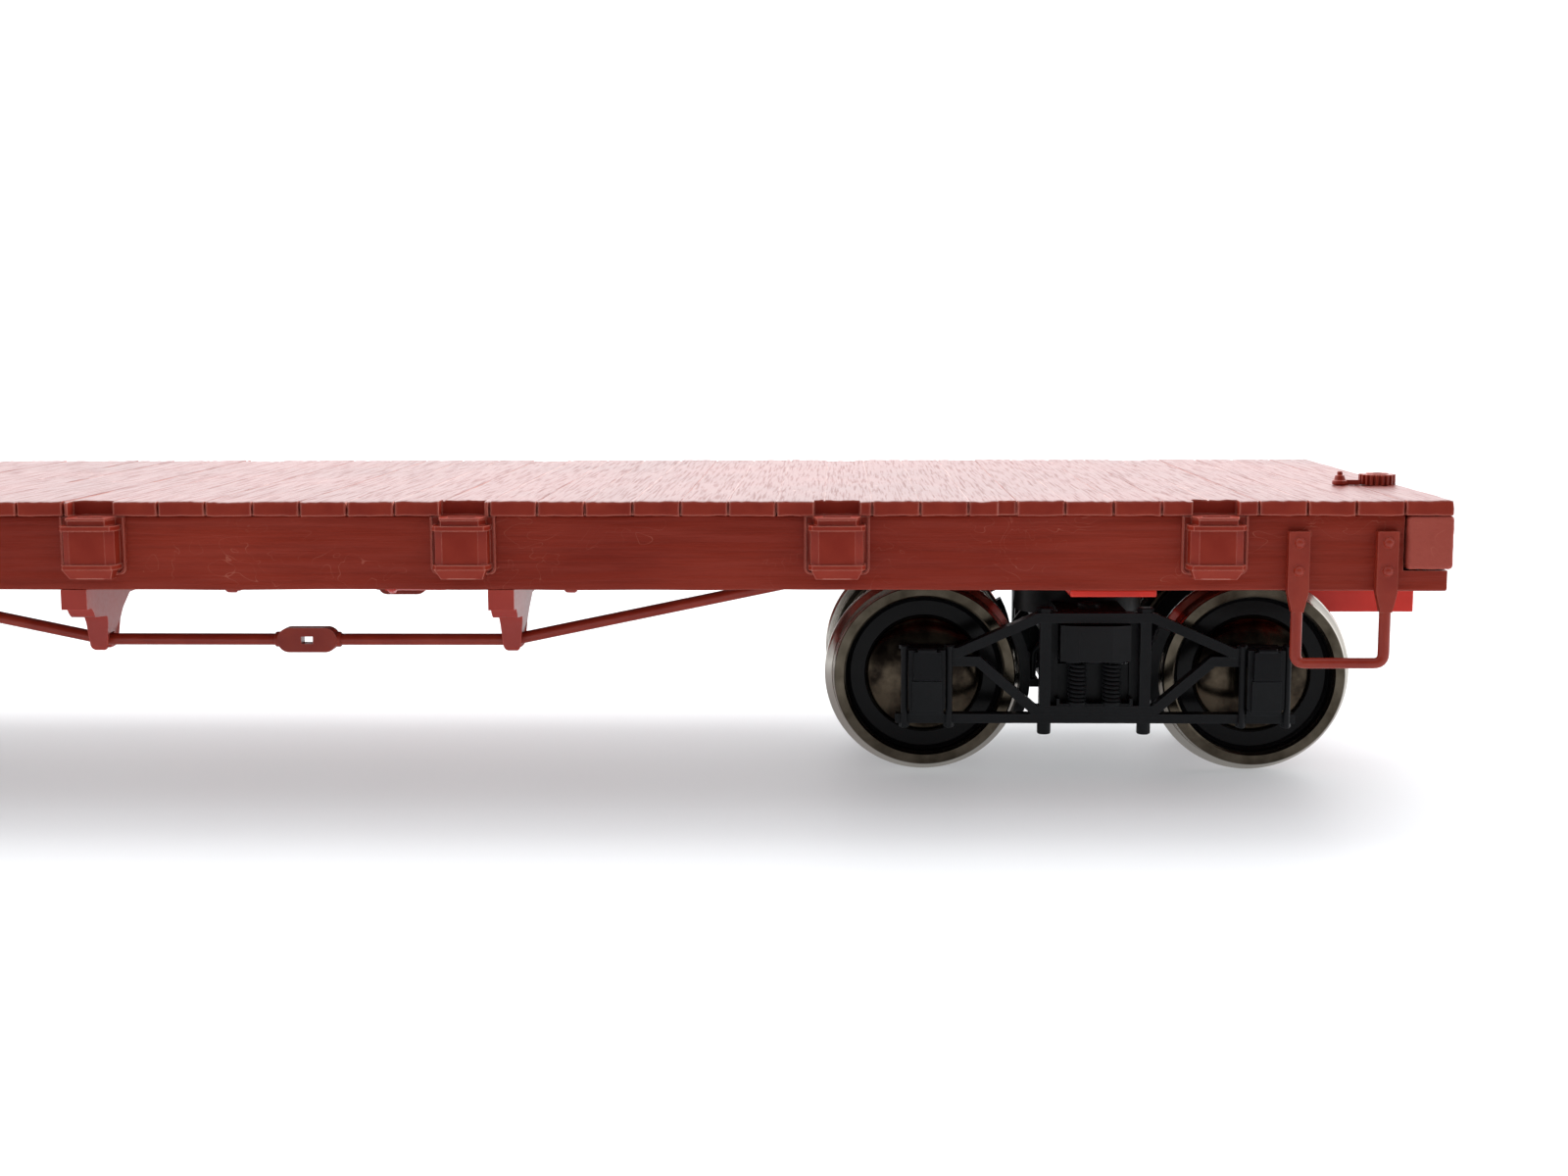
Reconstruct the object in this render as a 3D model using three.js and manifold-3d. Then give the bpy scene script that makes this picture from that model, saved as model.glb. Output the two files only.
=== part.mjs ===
// Wooden flat car on two archbar trucks, a 1:48 narrow-gauge model on 16.5 mm track.
// Millimetres. X runs along the car with the hand-brake end at +X, Y across it, Z up.
// The origin is under the middle of the car, level with the lowest points of the wheel flanges.
// The dimensions below give heights above the rail top; the whole car is lifted at the end by the
// depth of the flanges.
import * as THREE from 'three';
import { mergeVertices } from 'three/addons/utils/BufferGeometryUtils.js';
import Module from 'manifold-3d';

const wasm = await Module();
wasm.setup();

// ---- Driving dimensions -------------------------------------------------------------------

const gap = 0.3;                         // between pieces that are fitted to each other

const deckLength = 190.5;
const deckWidth = 50.8;
const deckTop = 25.25;
const deckThickness = 1.25;
const deckBottom = deckTop - deckThickness;
const plankCount = 49;
const plankPitch = deckLength / plankCount;
const grooveWidth = 0.24;
const grooveDepth = 0.32;

const sillFace = deckWidth / 2 - 0.6;    // outer face of the side sills
const sillThickness = 4.2;
const sillBottom = 17.88;
const sillEnd = 95.1;
const beamOuter = 95.35;                 // outer face of the end beams
const beamThickness = 3.7;
const beamInner = beamOuter - beamThickness;
const beamTop = deckBottom - 0.3;
const beamBottom = 19.65;
const beamRound = 0.35;

const innerSillTop = 22.6;
const innerSillBottom = sillBottom + 0.02;
const centreSillHalf = 3.1;
const innerSillNear = 10.0;
const innerSillFar = 12.6;

const pocketSpacing = 30.5;
const pocketColumns = [-2.5, -1.5, -0.5, 0.5, 1.5, 2.5];
const pocketTop = deckBottom - 0.05;
const pocketHeight = 5.1;
const pocketNotchWidth = 3.75;
const pocketNotchDepth = 1.3;

const stepLegs = [82.95, 90.05];
const stepTop = 22.75;
const stepBottom = 11.55;
const stepFlatWidth = 1.7;
const stepBarWidth = 0.95;
const stepTread = 0.85;
const stepThickness = 0.75;
const rivetRadius = 0.34;

const trussMiddle = 0.5;                 // the trussed assembly sits a little towards the brake end
const needleBeamX = 17.7;                // needle beams, each side of its middle
const needleBeamWidth = 2.15;
const rodY = 18.5;
const rodZ = 12.8;
const rodRadius = 0.5;
const rodSlope = 0.209;
const turnbuckleLength = 5.2;
const turnbuckleHeight = 2.1;

const truckX = 68.26;                    // truck pivots, each side of the middle
const wheelBase = 29.36;
const treadRadius = 8.2;
const flangeDepth = 0.75;
const axleZ = treadRadius;
const wheelBack = 7.2;                   // inner face of a wheel, from the middle
const wheelWidth = 2.8;
const axleRadius = 1.0;
const journalRadius = 0.7;
const bolsterPlateBottom = 17.3;
const centreBearingTop = 16.9;
const frameInner = 12.9;                 // side-frame bars, from the middle of the truck
const frameOuter = 14.3;
const frameMiddle = (frameInner + frameOuter) / 2;

// ---- Materials ----------------------------------------------------------------------------

function material(color, roughness, metalness = 0) {
  return new THREE.MeshStandardMaterial({ color, roughness, metalness });
}

const paintedRed = material(0x8c3a2f, 0.55);
const deckRed = material(0xa2564f, 0.7);
const mouldedRed = material(0xb3342a, 0.4);
const truckBlack = material(0x1b1c1f, 0.45);
const wheelMetal = material(0x8a7d70, 0.25, 1);
const steel = material(0x9a9a98, 0.35, 1);

// ---- Solids -------------------------------------------------------------------------------

// A closed, welded copy of a geometry, with its faces pointing out.
function welded(source) {
  const plain = source.index ? source.toNonIndexed() : source.clone();
  plain.deleteAttribute('normal');
  plain.deleteAttribute('uv');
  const merged = mergeVertices(plain, 1e-4);
  const position = merged.attributes.position;
  const corner = [new THREE.Vector3(), new THREE.Vector3(), new THREE.Vector3()];
  const triangles = [];
  let volume = 0;
  for (let i = 0; i < merged.index.count; i += 3) {
    const face = [0, 1, 2].map((k) => merged.index.getX(i + k));
    if (face[0] === face[1] || face[1] === face[2] || face[2] === face[0]) continue;
    face.forEach((vertex, k) => corner[k].fromBufferAttribute(position, vertex));
    volume += corner[0].dot(corner[1].cross(corner[2]));
    triangles.push(face);
  }
  if (volume < 0) triangles.forEach((face) => face.reverse());
  merged.setIndex(triangles.flat());
  return merged;
}

function solid(source) {
  const geometry = welded(source);
  return new wasm.Manifold(new wasm.Mesh({
    numProp: 3,
    vertProperties: new Float32Array(geometry.attributes.position.array),
    triVerts: new Uint32Array(geometry.index.array),
  }));
}

function geometryOf(body) {
  const mesh = body.getMesh();
  const geometry = new THREE.BufferGeometry();
  geometry.setAttribute('position', new THREE.BufferAttribute(mesh.vertProperties, 3));
  geometry.setIndex(new THREE.BufferAttribute(mesh.triVerts, 1));
  return geometry;
}

function joined(bodies) {
  return bodies.reduce((sum, body) => sum.add(body));
}

function box(x0, x1, y0, y1, z0, z1) {
  const geometry = new THREE.BoxGeometry(x1 - x0, y1 - y0, z1 - z0);
  geometry.translate((x0 + x1) / 2, (y0 + y1) / 2, (z0 + z1) / 2);
  return solid(geometry);
}

function shapeOf(points) {
  return new THREE.Shape(points.map(([a, b]) => new THREE.Vector2(a, b)));
}

// An outline in the XZ plane, extruded along Y from y0 to y1.
function alongY(shape, y0, y1, curveSegments = 4) {
  const options = { depth: y1 - y0, bevelEnabled: false, curveSegments };
  const geometry = new THREE.ExtrudeGeometry(shape, options);
  geometry.rotateX(Math.PI / 2);
  geometry.translate(0, y1, 0);
  return solid(geometry);
}

// An outline in the YZ plane, extruded along X from x0 to x1.
function alongX(shape, x0, x1, curveSegments = 4) {
  const options = { depth: x1 - x0, bevelEnabled: false, curveSegments };
  const geometry = new THREE.ExtrudeGeometry(shape, options);
  const axes = [new THREE.Vector3(0, 1, 0), new THREE.Vector3(0, 0, 1), new THREE.Vector3(1, 0, 0)];
  geometry.applyMatrix4(new THREE.Matrix4().makeBasis(...axes));
  geometry.translate(x0, 0, 0);
  return solid(geometry);
}

// A turned piece about a line parallel to Y; the profile is a list of [radius, y].
function turnedAboutY(profile, x, z, segments) {
  const geometry = new THREE.LatheGeometry(profile.map(([r, y]) => new THREE.Vector2(r, y)), segments);
  geometry.translate(x, 0, z);
  return solid(geometry);
}

// A turned piece about a line parallel to Z; the profile is a list of [radius, z].
function turnedAboutZ(profile, x, y, segments) {
  const geometry = new THREE.LatheGeometry(profile.map(([r, z]) => new THREE.Vector2(r, z)), segments);
  geometry.rotateX(Math.PI / 2);
  geometry.translate(x, y, 0);
  return solid(geometry);
}

function cylinderZ(radius, x, y, z0, z1, segments = 12) {
  return turnedAboutZ([[0, z0], [radius, z0], [radius, z1], [0, z1]], x, y, segments);
}

function cylinderY(radius, x, z, y0, y1, segments = 12) {
  return turnedAboutY([[0, y0], [radius, y0], [radius, y1], [0, y1]], x, z, segments);
}

// A round bar from one point to another.
function bar(from, to, radius, sides = 8) {
  const start = new THREE.Vector3(...from);
  const end = new THREE.Vector3(...to);
  const geometry = new THREE.CylinderGeometry(radius, radius, start.distanceTo(end), sides);
  const direction = end.clone().sub(start).normalize();
  geometry.applyQuaternion(new THREE.Quaternion().setFromUnitVectors(new THREE.Vector3(0, 1, 0), direction));
  const middle = start.add(end).multiplyScalar(0.5);
  geometry.translate(middle.x, middle.y, middle.z);
  return solid(geometry);
}

// A round bar with bends: straight lengths with a ball at each corner.
function bentBar(points, radius) {
  const pieces = points.slice(1).map((point, i) => bar(points[i], point, radius));
  points.slice(1, -1).forEach((point) => {
    const ball = new THREE.SphereGeometry(radius, 8, 4);
    ball.translate(...point);
    pieces.push(solid(ball));
  });
  return joined(pieces);
}

// A flat bar of even thickness that follows a line in the XZ plane.
function stripAlongY(points, thickness, y0, y1) {
  const half = thickness / 2;
  return joined(points.slice(1).map(([x1, z1], i) => {
    const [x0, z0] = points[i];
    const length = Math.hypot(x1 - x0, z1 - z0);
    const ux = (x1 - x0) / length;
    const uz = (z1 - z0) / length;
    const reach = half * 0.35;
    const corners = [[-reach, -half], [length + reach, -half], [length + reach, half], [-reach, half]];
    const outline = corners.map(([s, t]) => [x0 + ux * s - uz * t, z0 + uz * s + ux * t]);
    return alongY(shapeOf(outline), y0, y1);
  }));
}

function mirroredY(body) {
  return body.mirror([0, 1, 0]);
}

function mirroredX(body) {
  return body.mirror([1, 0, 0]);
}

function alongTruss(body) {
  return body.translate([trussMiddle, 0, 0]);
}

// ---- The group of named pieces ------------------------------------------------------------

const car = new THREE.Group();

function addPiece(name, body, finish, parent = car) {
  const mesh = new THREE.Mesh(geometryOf(body), finish);
  mesh.name = name;
  parent.add(mesh);
}

// ---- Deck ---------------------------------------------------------------------------------

// Planks laid across the car: one long board with a V groove at each joint.
function deckBoard() {
  const half = deckLength / 2;
  const outline = [[-half, deckBottom], [half, deckBottom], [half, deckTop]];
  for (let joint = plankCount - 1; joint > 0; joint -= 1) {
    const x = -half + joint * plankPitch;
    outline.push([x + grooveWidth / 2, deckTop], [x, deckTop - grooveDepth], [x - grooveWidth / 2, deckTop]);
  }
  outline.push([-half, deckTop]);
  let board = alongY(shapeOf(outline), -deckWidth / 2, deckWidth / 2);
  for (const column of pocketColumns) {
    const x0 = column * pocketSpacing - pocketNotchWidth / 2;
    const x1 = x0 + pocketNotchWidth;
    const notch = box(x0, x1, deckWidth / 2 - pocketNotchDepth, deckWidth, deckBottom - 1, deckTop + 1);
    board = board.subtract(notch).subtract(mirroredY(notch));
  }
  return board;
}

addPiece('deck', deckBoard(), deckRed);

// ---- Sills and end beams ------------------------------------------------------------------

// A side sill is rebated at each end, so that the end beam sits in the rebate.
function sideSill() {
  const shoulder = beamInner - gap;
  const ledge = beamBottom - gap;
  const outline = shapeOf([
    [-sillEnd, sillBottom], [sillEnd, sillBottom], [sillEnd, ledge], [shoulder, ledge],
    [shoulder, deckBottom], [-shoulder, deckBottom], [-shoulder, ledge], [-sillEnd, ledge],
  ]);
  return alongY(outline, sillFace - sillThickness, sillFace);
}

// An end beam runs the full width of the deck and has rounded long edges.
function endBeam() {
  const r = beamRound;
  const outline = new THREE.Shape();
  outline.moveTo(beamInner + r, beamBottom);
  outline.lineTo(beamOuter - r, beamBottom);
  outline.absarc(beamOuter - r, beamBottom + r, r, -Math.PI / 2, 0, false);
  outline.absarc(beamOuter - r, beamTop - r, r, 0, Math.PI / 2, false);
  outline.absarc(beamInner + r, beamTop - r, r, Math.PI / 2, Math.PI, false);
  outline.absarc(beamInner + r, beamBottom + r, r, Math.PI, 1.5 * Math.PI, false);
  return alongY(outline, -deckWidth / 2, deckWidth / 2, 3);
}

addPiece('side_sill_left', sideSill(), paintedRed);
addPiece('side_sill_right', mirroredY(sideSill()), paintedRed);
addPiece('end_beam_front', endBeam(), paintedRed);
addPiece('end_beam_rear', mirroredX(endBeam()), paintedRed);

// A plain timber between the end beams, from one distance off the middle line to another.
function innerSill(near, far) {
  const end = beamInner - gap;
  return box(-end, end, near, far, innerSillBottom, innerSillTop);
}

const stringer = innerSill(innerSillNear, innerSillFar);
addPiece('centre_sill', innerSill(-centreSillHalf, centreSillHalf), mouldedRed);
addPiece('inner_sill_left', stringer, mouldedRed);
addPiece('inner_sill_right', mirroredY(stringer), mouldedRed);

// A steel plate under the deck gives the light car its running weight.
function weightPlate() {
  const halfLength = 60;
  const halfWidth = sillFace - sillThickness - gap;
  const play = 0.1;
  return box(-halfLength, halfLength, -halfWidth, halfWidth, innerSillTop + play, deckBottom - play);
}

addPiece('weight_plate', weightPlate(), steel);

// ---- Body bolsters, coupler pads and kingpins ---------------------------------------------

const kingpinRadius = 1.1;
const kingpinTop = sillBottom - 0.08;
const bolsterPlateHalf = 3.5;

// A cross-plate over each truck, with the hole that takes the kingpin.
function bodyBolster() {
  const halfWidth = sillFace - 0.2;
  const [x0, x1] = [truckX - bolsterPlateHalf, truckX + bolsterPlateHalf];
  const plate = box(x0, x1, -halfWidth, halfWidth, bolsterPlateBottom, sillBottom);
  return plate.subtract(cylinderZ(kingpinRadius + gap, truckX, 0, bolsterPlateBottom - 1, sillBottom + 1));
}

// A block under each end that a coupler box is screwed to.
const padBottom = 13.0;
const padOuter = 98.8;
const padInner = 82.0;
const padScrewX = 93.6;
const padScrewRadius = 0.8;
const padScrewDepth = 3;
const padPlay = 0.02;                    // the pad touches the centre sill and the side of the end beam

function couplerPad() {
  const outline = shapeOf([
    [padInner, padBottom], [padOuter, padBottom], [padOuter, sillBottom - gap],
    [sillEnd, sillBottom - gap], [sillEnd, beamBottom - gap], [beamInner, beamBottom - gap],
    [beamInner, sillBottom - padPlay], [padInner, sillBottom - padPlay],
  ]);
  const block = alongY(outline, -centreSillHalf, centreSillHalf);
  return block.subtract(cylinderZ(padScrewRadius, padScrewX, 0, padBottom - 1, padBottom + padScrewDepth));
}

// A pan-head screw whose shank is the truck's pivot.
function kingpin() {
  const headBottom = 10.4;
  const headTop = 11.6;
  const headRadius = 2.1;
  const rim = 0.35;
  return turnedAboutZ([
    [0, headBottom], [headRadius - rim, headBottom], [headRadius, headBottom + rim],
    [headRadius, headTop],
    [kingpinRadius, headTop], [kingpinRadius, kingpinTop], [0, kingpinTop],
  ], truckX, 0, 12);
}

addPiece('body_bolster_front', bodyBolster(), mouldedRed);
addPiece('body_bolster_rear', mirroredX(bodyBolster()), mouldedRed);
addPiece('coupler_pad_front', couplerPad(), mouldedRed);
addPiece('coupler_pad_rear', mirroredX(couplerPad()), mouldedRed);
addPiece('kingpin_front', kingpin(), steel);
addPiece('kingpin_rear', mirroredX(kingpin()), steel);

// ---- Needle beams with queen posts --------------------------------------------------------

// Half of the cross-beam's outline: it steps in through an ogee corbel to a forked queen post.
function needleBeam() {
  const beamLower = 16.2;
  const postFront = 19.9;
  const postBack = 17.1;
  const postFoot = 11.95;
  const corbelLower = 15.5;
  const corbelBack = 15.2;
  const corbelFlare = 0.5;
  const curlOuter = 22.5;
  const curlInner = 21.6;
  const footRound = 0.5;
  const outline = new THREE.Shape();
  outline.moveTo(sillFace, sillBottom);
  outline.lineTo(sillFace, beamLower);
  outline.bezierCurveTo(curlOuter, beamLower, curlInner, corbelLower, postFront + corbelFlare, corbelLower);
  outline.lineTo(postFront, postFoot + footRound);
  outline.absarc(postFront - footRound, postFoot + footRound, footRound, 0, -Math.PI / 2, true);
  outline.lineTo(postBack + footRound, postFoot);
  outline.absarc(postBack + footRound, postFoot + footRound, footRound, -Math.PI / 2, -Math.PI, true);
  outline.lineTo(postBack - corbelFlare, corbelLower);
  outline.lineTo(corbelBack, beamLower);
  outline.lineTo(0, beamLower);
  outline.lineTo(0, sillBottom);
  const x0 = needleBeamX - needleBeamWidth / 2;
  const half = alongX(outline, x0, x0 + needleBeamWidth, 3);
  const forkHalf = rodRadius + gap;
  const fork = box(x0 - 1, x0 + needleBeamWidth + 1, rodY - forkHalf, rodY + forkHalf,
    postFoot - 1, rodZ + rodRadius + 2 * gap);
  const side = half.subtract(fork);
  return side.add(mirroredY(side));
}

addPiece('needle_beam_front', alongTruss(needleBeam()), mouldedRed);
addPiece('needle_beam_rear', alongTruss(mirroredX(needleBeam())), mouldedRed);

// ---- Truss rods and turnbuckles -----------------------------------------------------------

// One half of a truss rod: level under the queen post, then up to the body bolster, whose
// distance from the truss's middle differs between the ends.
function trussRodHalf(bolsterX) {
  const start = turnbuckleLength / 2 + gap;
  const end = bolsterX - bolsterPlateHalf - gap - rodRadius;
  const rise = rodZ + (end - needleBeamX) * rodSlope;
  return bentBar([[start, rodY, rodZ], [needleBeamX, rodY, rodZ], [end, rodY, rise]], rodRadius);
}

// A flat link with rounded ends and a slot through it.
function turnbuckle() {
  const half = turnbuckleLength / 2;
  const tall = turnbuckleHeight / 2;
  const shoulder = 0.9;
  const tip = 0.62;
  const thickness = 1.6;
  const slotHalf = 0.55;
  const slotTall = 0.34;
  const outline = shapeOf([
    [-half, -tip], [-half + shoulder, -tall], [half - shoulder, -tall], [half, -tip],
    [half, tip], [half - shoulder, tall], [-half + shoulder, tall], [-half, tip],
  ]);
  const link = alongY(outline, rodY - thickness / 2, rodY + thickness / 2);
  const slot = box(-slotHalf, slotHalf, rodY - thickness, rodY + thickness, -slotTall, slotTall);
  return link.subtract(slot).translate([0, 0, rodZ]);
}

for (const [side, place] of [['left', (body) => body], ['right', mirroredY]]) {
  const frontHalf = trussRodHalf(truckX - trussMiddle);
  const rearHalf = mirroredX(trussRodHalf(truckX + trussMiddle));
  addPiece(`truss_rod_${side}_front`, place(alongTruss(frontHalf)), paintedRed);
  addPiece(`truss_rod_${side}_rear`, place(alongTruss(rearHalf)), paintedRed);
  addPiece(`turnbuckle_${side}`, place(alongTruss(turnbuckle())), paintedRed);
}

// ---- Stake pockets ------------------------------------------------------------------------

// A cast socket: a backing plate, a tapered box with a rib above and below, and a hole down through it.
function stakePocket() {
  const plateHalf = 2.66;
  const plateHeight = 4.7;
  const plateThickness = 0.3;
  const ribHalf = 2.3;
  const ribHeight = 0.5;
  const ribDepth = 1.9;
  const collarHalf = 1.8;
  const collarHeight = 0.6;
  const bodyDepth = 1.7;
  const bodyHalf = 2.0;
  const bodyFrontHalf = 1.5;
  const taperHalf = 1.35;
  const taperHeight = 0.9;
  const taperToe = 0.8;
  const holeHalf = 1.15;
  const holeBack = 0.35;
  const holeFront = 1.3;
  const face = sillFace + 0.02;
  const front = face + bodyDepth;
  const ribTop = pocketTop - collarHeight;
  const taperTop = pocketTop - pocketHeight + taperHeight;
  const lowerRibTop = taperTop + ribHeight;
  const plate = box(-plateHalf, plateHalf, face, face + plateThickness, pocketTop - plateHeight, pocketTop);
  const collar = box(-collarHalf, collarHalf, face, front, ribTop, pocketTop);
  const upperRib = box(-ribHalf, ribHalf, face, face + ribDepth, ribTop - ribHeight, ribTop);
  const lowerRib = box(-ribHalf, ribHalf, face, face + ribDepth, taperTop, lowerRibTop);
  const panelShape = shapeOf([
    [-bodyHalf, face], [bodyHalf, face], [bodyFrontHalf, front], [-bodyFrontHalf, front],
  ]);
  const panelOptions = { depth: ribTop - taperTop, bevelEnabled: false };
  const panelGeometry = new THREE.ExtrudeGeometry(panelShape, panelOptions);
  panelGeometry.translate(0, 0, taperTop);
  const foot = alongX(shapeOf([
    [face, taperTop], [face, taperTop - taperHeight],
    [face + taperToe, taperTop - taperHeight], [face + ribDepth, taperTop],
  ]), -taperHalf, taperHalf);
  const [holeBottom, holeTop] = [taperTop - taperHeight - 1, pocketTop + 1];
  const hole = box(-holeHalf, holeHalf, face + holeBack, face + holeFront, holeBottom, holeTop);
  return joined([plate, collar, upperRib, lowerRib, solid(panelGeometry), foot]).subtract(hole);
}

pocketColumns.forEach((column, index) => {
  const left = stakePocket().translate([column * pocketSpacing, 0, 0]);
  addPiece(`stake_pocket_left_${index + 1}`, left, paintedRed);
  addPiece(`stake_pocket_right_${index + 1}`, mirroredY(left), paintedRed);
});

// ---- Stirrup steps ------------------------------------------------------------------------

// Two riveted flats that narrow to bars below the sill and join in a tread.
function stirrupStep() {
  const [inner, outer] = stepLegs;
  const flat = stepFlatWidth / 2;
  const slim = stepBarWidth / 2;
  const neckTop = sillBottom - 0.1;
  const neckBottom = neckTop - 1.4;
  const corner = 0.9;
  const rivetDrops = [0.85, 3.3];
  const treadTop = stepBottom + stepTread;
  const outline = new THREE.Shape();
  outline.moveTo(inner - flat, stepTop);
  outline.lineTo(inner - flat, neckTop);
  outline.lineTo(inner - slim, neckBottom);
  outline.lineTo(inner - slim, stepBottom + corner);
  outline.absarc(inner - slim + corner, stepBottom + corner, corner, Math.PI, 1.5 * Math.PI, false);
  outline.lineTo(outer + slim - corner, stepBottom);
  outline.absarc(outer + slim - corner, stepBottom + corner, corner, -Math.PI / 2, 0, false);
  outline.lineTo(outer + slim, neckBottom);
  outline.lineTo(outer + flat, neckTop);
  outline.lineTo(outer + flat, stepTop);
  outline.lineTo(outer - flat, stepTop);
  outline.lineTo(outer - flat, neckTop);
  outline.lineTo(outer - slim, neckBottom);
  outline.lineTo(outer - slim, treadTop);
  outline.lineTo(inner + slim, treadTop);
  outline.lineTo(inner + slim, neckBottom);
  outline.lineTo(inner + flat, neckTop);
  outline.lineTo(inner + flat, stepTop);
  const face = sillFace + 0.02;
  const bodyOfStep = alongY(outline, face, face + stepThickness, 4);
  const rivetHead = face + stepThickness + rivetRadius;
  const rivets = stepLegs.flatMap((x) => rivetDrops.map((drop) =>
    cylinderY(rivetRadius, x, stepTop - drop, face + stepThickness / 2, rivetHead, 8)));
  return joined([bodyOfStep, ...rivets]);
}

const step = stirrupStep();
addPiece('step_left_front', step, paintedRed);
addPiece('step_right_front', mirroredY(step), paintedRed);
addPiece('step_left_rear', mirroredX(step), paintedRed);
addPiece('step_right_rear', mirroredX(mirroredY(step)), paintedRed);

// ---- Hand-brake ratchet and pawl ----------------------------------------------------------

const ratchetX = 93.5;
const ratchetY = -8.8;
const ratchetRadius = 1.58;
const ratchetHeight = 1.0;
const deckFittingZ = deckTop + 0.02;

// A toothed wheel; each tooth takes up about half of its share of the turn.
function ratchet() {
  const teeth = 14;
  const toothDepth = 0.28;
  const staffRadius = 0.5;
  const staffHoleFloor = 0.4;
  const turn = (2 * Math.PI) / teeth;
  const root = ratchetRadius - toothDepth;
  const toothSteps = [[0, ratchetRadius], [0.45, ratchetRadius], [0.55, root], [0.95, root]];
  const outline = new THREE.Shape();
  for (let i = 0; i < teeth; i += 1) {
    for (const [share, radius] of toothSteps) {
      const angle = (i + share) * turn;
      const [x, y] = [radius * Math.cos(angle), radius * Math.sin(angle)];
      if (i === 0 && share === 0) outline.moveTo(x, y);
      else outline.lineTo(x, y);
    }
  }
  const geometry = new THREE.ExtrudeGeometry(outline, { depth: ratchetHeight, bevelEnabled: false });
  geometry.translate(ratchetX, ratchetY, deckFittingZ);
  const holeTop = deckTop + 2 * ratchetHeight;
  const staffHole = cylinderZ(staffRadius, ratchetX, ratchetY, deckTop + staffHoleFloor, holeTop, 12);
  return solid(geometry).subtract(staffHole);
}

// A washer, a nut and a bolt end over each other, with an arm that reaches to the ratchet's teeth.
function pawl() {
  const pivotX = ratchetX - 3.4;
  const pivotY = ratchetY - 0.5;
  const washer = { radius: 0.65, top: 0.45, sides: 12 };
  const nut = { radius: 0.45, top: 0.95, sides: 6 };
  const boltEnd = { radius: 0.2, top: 1.2, sides: 8 };
  const stack = [washer, nut, boltEnd].map(({ radius, top, sides }) =>
    cylinderZ(radius, pivotX, pivotY, deckFittingZ, deckTop + top, sides));
  const armHalf = 0.22;
  const [armBottom, armTop] = [deckTop + 0.12, deckTop + 0.6];
  const reach = ratchetX - ratchetRadius - gap * 0.4;
  const arm = box(pivotX, reach, pivotY - armHalf, pivotY + armHalf, armBottom, armTop);
  return joined([...stack, arm]);
}

addPiece('brake_ratchet', ratchet(), paintedRed);
addPiece('brake_pawl', pawl(), paintedRed);

// ---- Brake cylinder -----------------------------------------------------------------------

// A flanged cylinder slung under the floor beside the centre sill, on a flat bracket.
function brakeCylinder() {
  const x0 = 1.6;
  const x1 = 7.6;
  const y = 6.6;
  const z = 15.5;
  const radius = 1.8;
  const coverRadius = 2.1;
  const coverThickness = 0.7;
  const pistonRadius = 0.45;
  const pistonReach = 4.5;
  const body = bar([x0, y, z], [x1, y, z], radius, 12);
  const cover = bar([x0, y, z], [x0 + coverThickness, y, z], coverRadius, 12);
  const piston = bar([x1 - radius, y, z], [x1 + pistonReach, y, z], pistonRadius, 8);
  const bracketHalf = radius / 2;
  const middle = (x0 + x1) / 2;
  const bracketTop = sillBottom - 0.02;
  const bracket = box(middle - radius, middle + radius, y - bracketHalf, y + bracketHalf, z, bracketTop);
  return joined([body, cover, piston, bracket]);
}

addPiece('brake_cylinder', brakeCylinder(), mouldedRed);

// ---- Trucks -------------------------------------------------------------------------------

const boxHalf = 1.95;
const boxBottom = 5.75;
const boxTop = 11.4;
const boxInner = 11.6;
const boxOuter = 15.4;
const halfBase = wheelBase / 2;

// Archbar side frame in the truck's own frame: arch bars, tie bar, columns, springs and journal boxes.
function sideFrame() {
  const columnX = 4.35;
  const columnHalf = 0.5;
  const columnTop = 14.1;
  const barThickness = 0.85;
  const topArchHalf = [[5.0, 14.03], [11.9, 10.97], [16.4, 10.97]];
  const lowerArchHalf = [[5.2, 5.85], [10.2, 10.3], [12.6, 10.35]];
  const bothSides = (half) => [...half.map(([x, z]) => [-x, z]).reverse(), ...half];
  const tieHalf = 17.5;
  const tieBottom = 4.75;
  const tieTop = 5.7;
  const springX = 1.5;
  const springRadius = 0.85;
  const springTop = 9.85;
  const boltRadius = 0.6;
  const boltBottom = 3.7;
  const lidHalf = 1.15;
  const lidBottom = 9.3;
  const lidDepth = 0.4;
  const boreEnd = boxOuter - 0.7;
  const overlap = 0.1;                   // so that joined blocks share material
  const pieces = [
    stripAlongY(bothSides(topArchHalf), barThickness, frameInner, frameOuter),
    stripAlongY(bothSides(lowerArchHalf), barThickness, frameInner, frameOuter),
    box(-tieHalf, tieHalf, frameInner, frameOuter, tieBottom, tieTop),
  ];
  for (const side of [-1, 1]) {
    const column = side * columnX;
    const journal = side * halfBase;
    pieces.push(box(column - columnHalf, column + columnHalf, frameInner, frameOuter, tieBottom, columnTop));
    pieces.push(cylinderZ(boltRadius, column, frameMiddle, boltBottom, tieTop, 8));
    pieces.push(cylinderZ(springRadius, side * springX, frameMiddle, tieTop, springTop, 8));
    const [x0, x1] = [journal - boxHalf, journal + boxHalf];
    pieces.push(box(x0, x1, boxInner, boxOuter, boxBottom, boxTop));
    pieces.push(box(x0, x1, frameInner, frameOuter, tieBottom, boxBottom + overlap));
    const lid = [journal - lidHalf, journal + lidHalf, boxOuter - overlap, boxOuter + lidDepth];
    pieces.push(box(...lid, lidBottom, boxTop + overlap));
  }
  const bores = [-1, 1].map((side) =>
    cylinderY(journalRadius + gap, side * halfBase, axleZ, boxInner - 1, boreEnd, 8));
  return joined(pieces).subtract(joined(bores));
}

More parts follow.
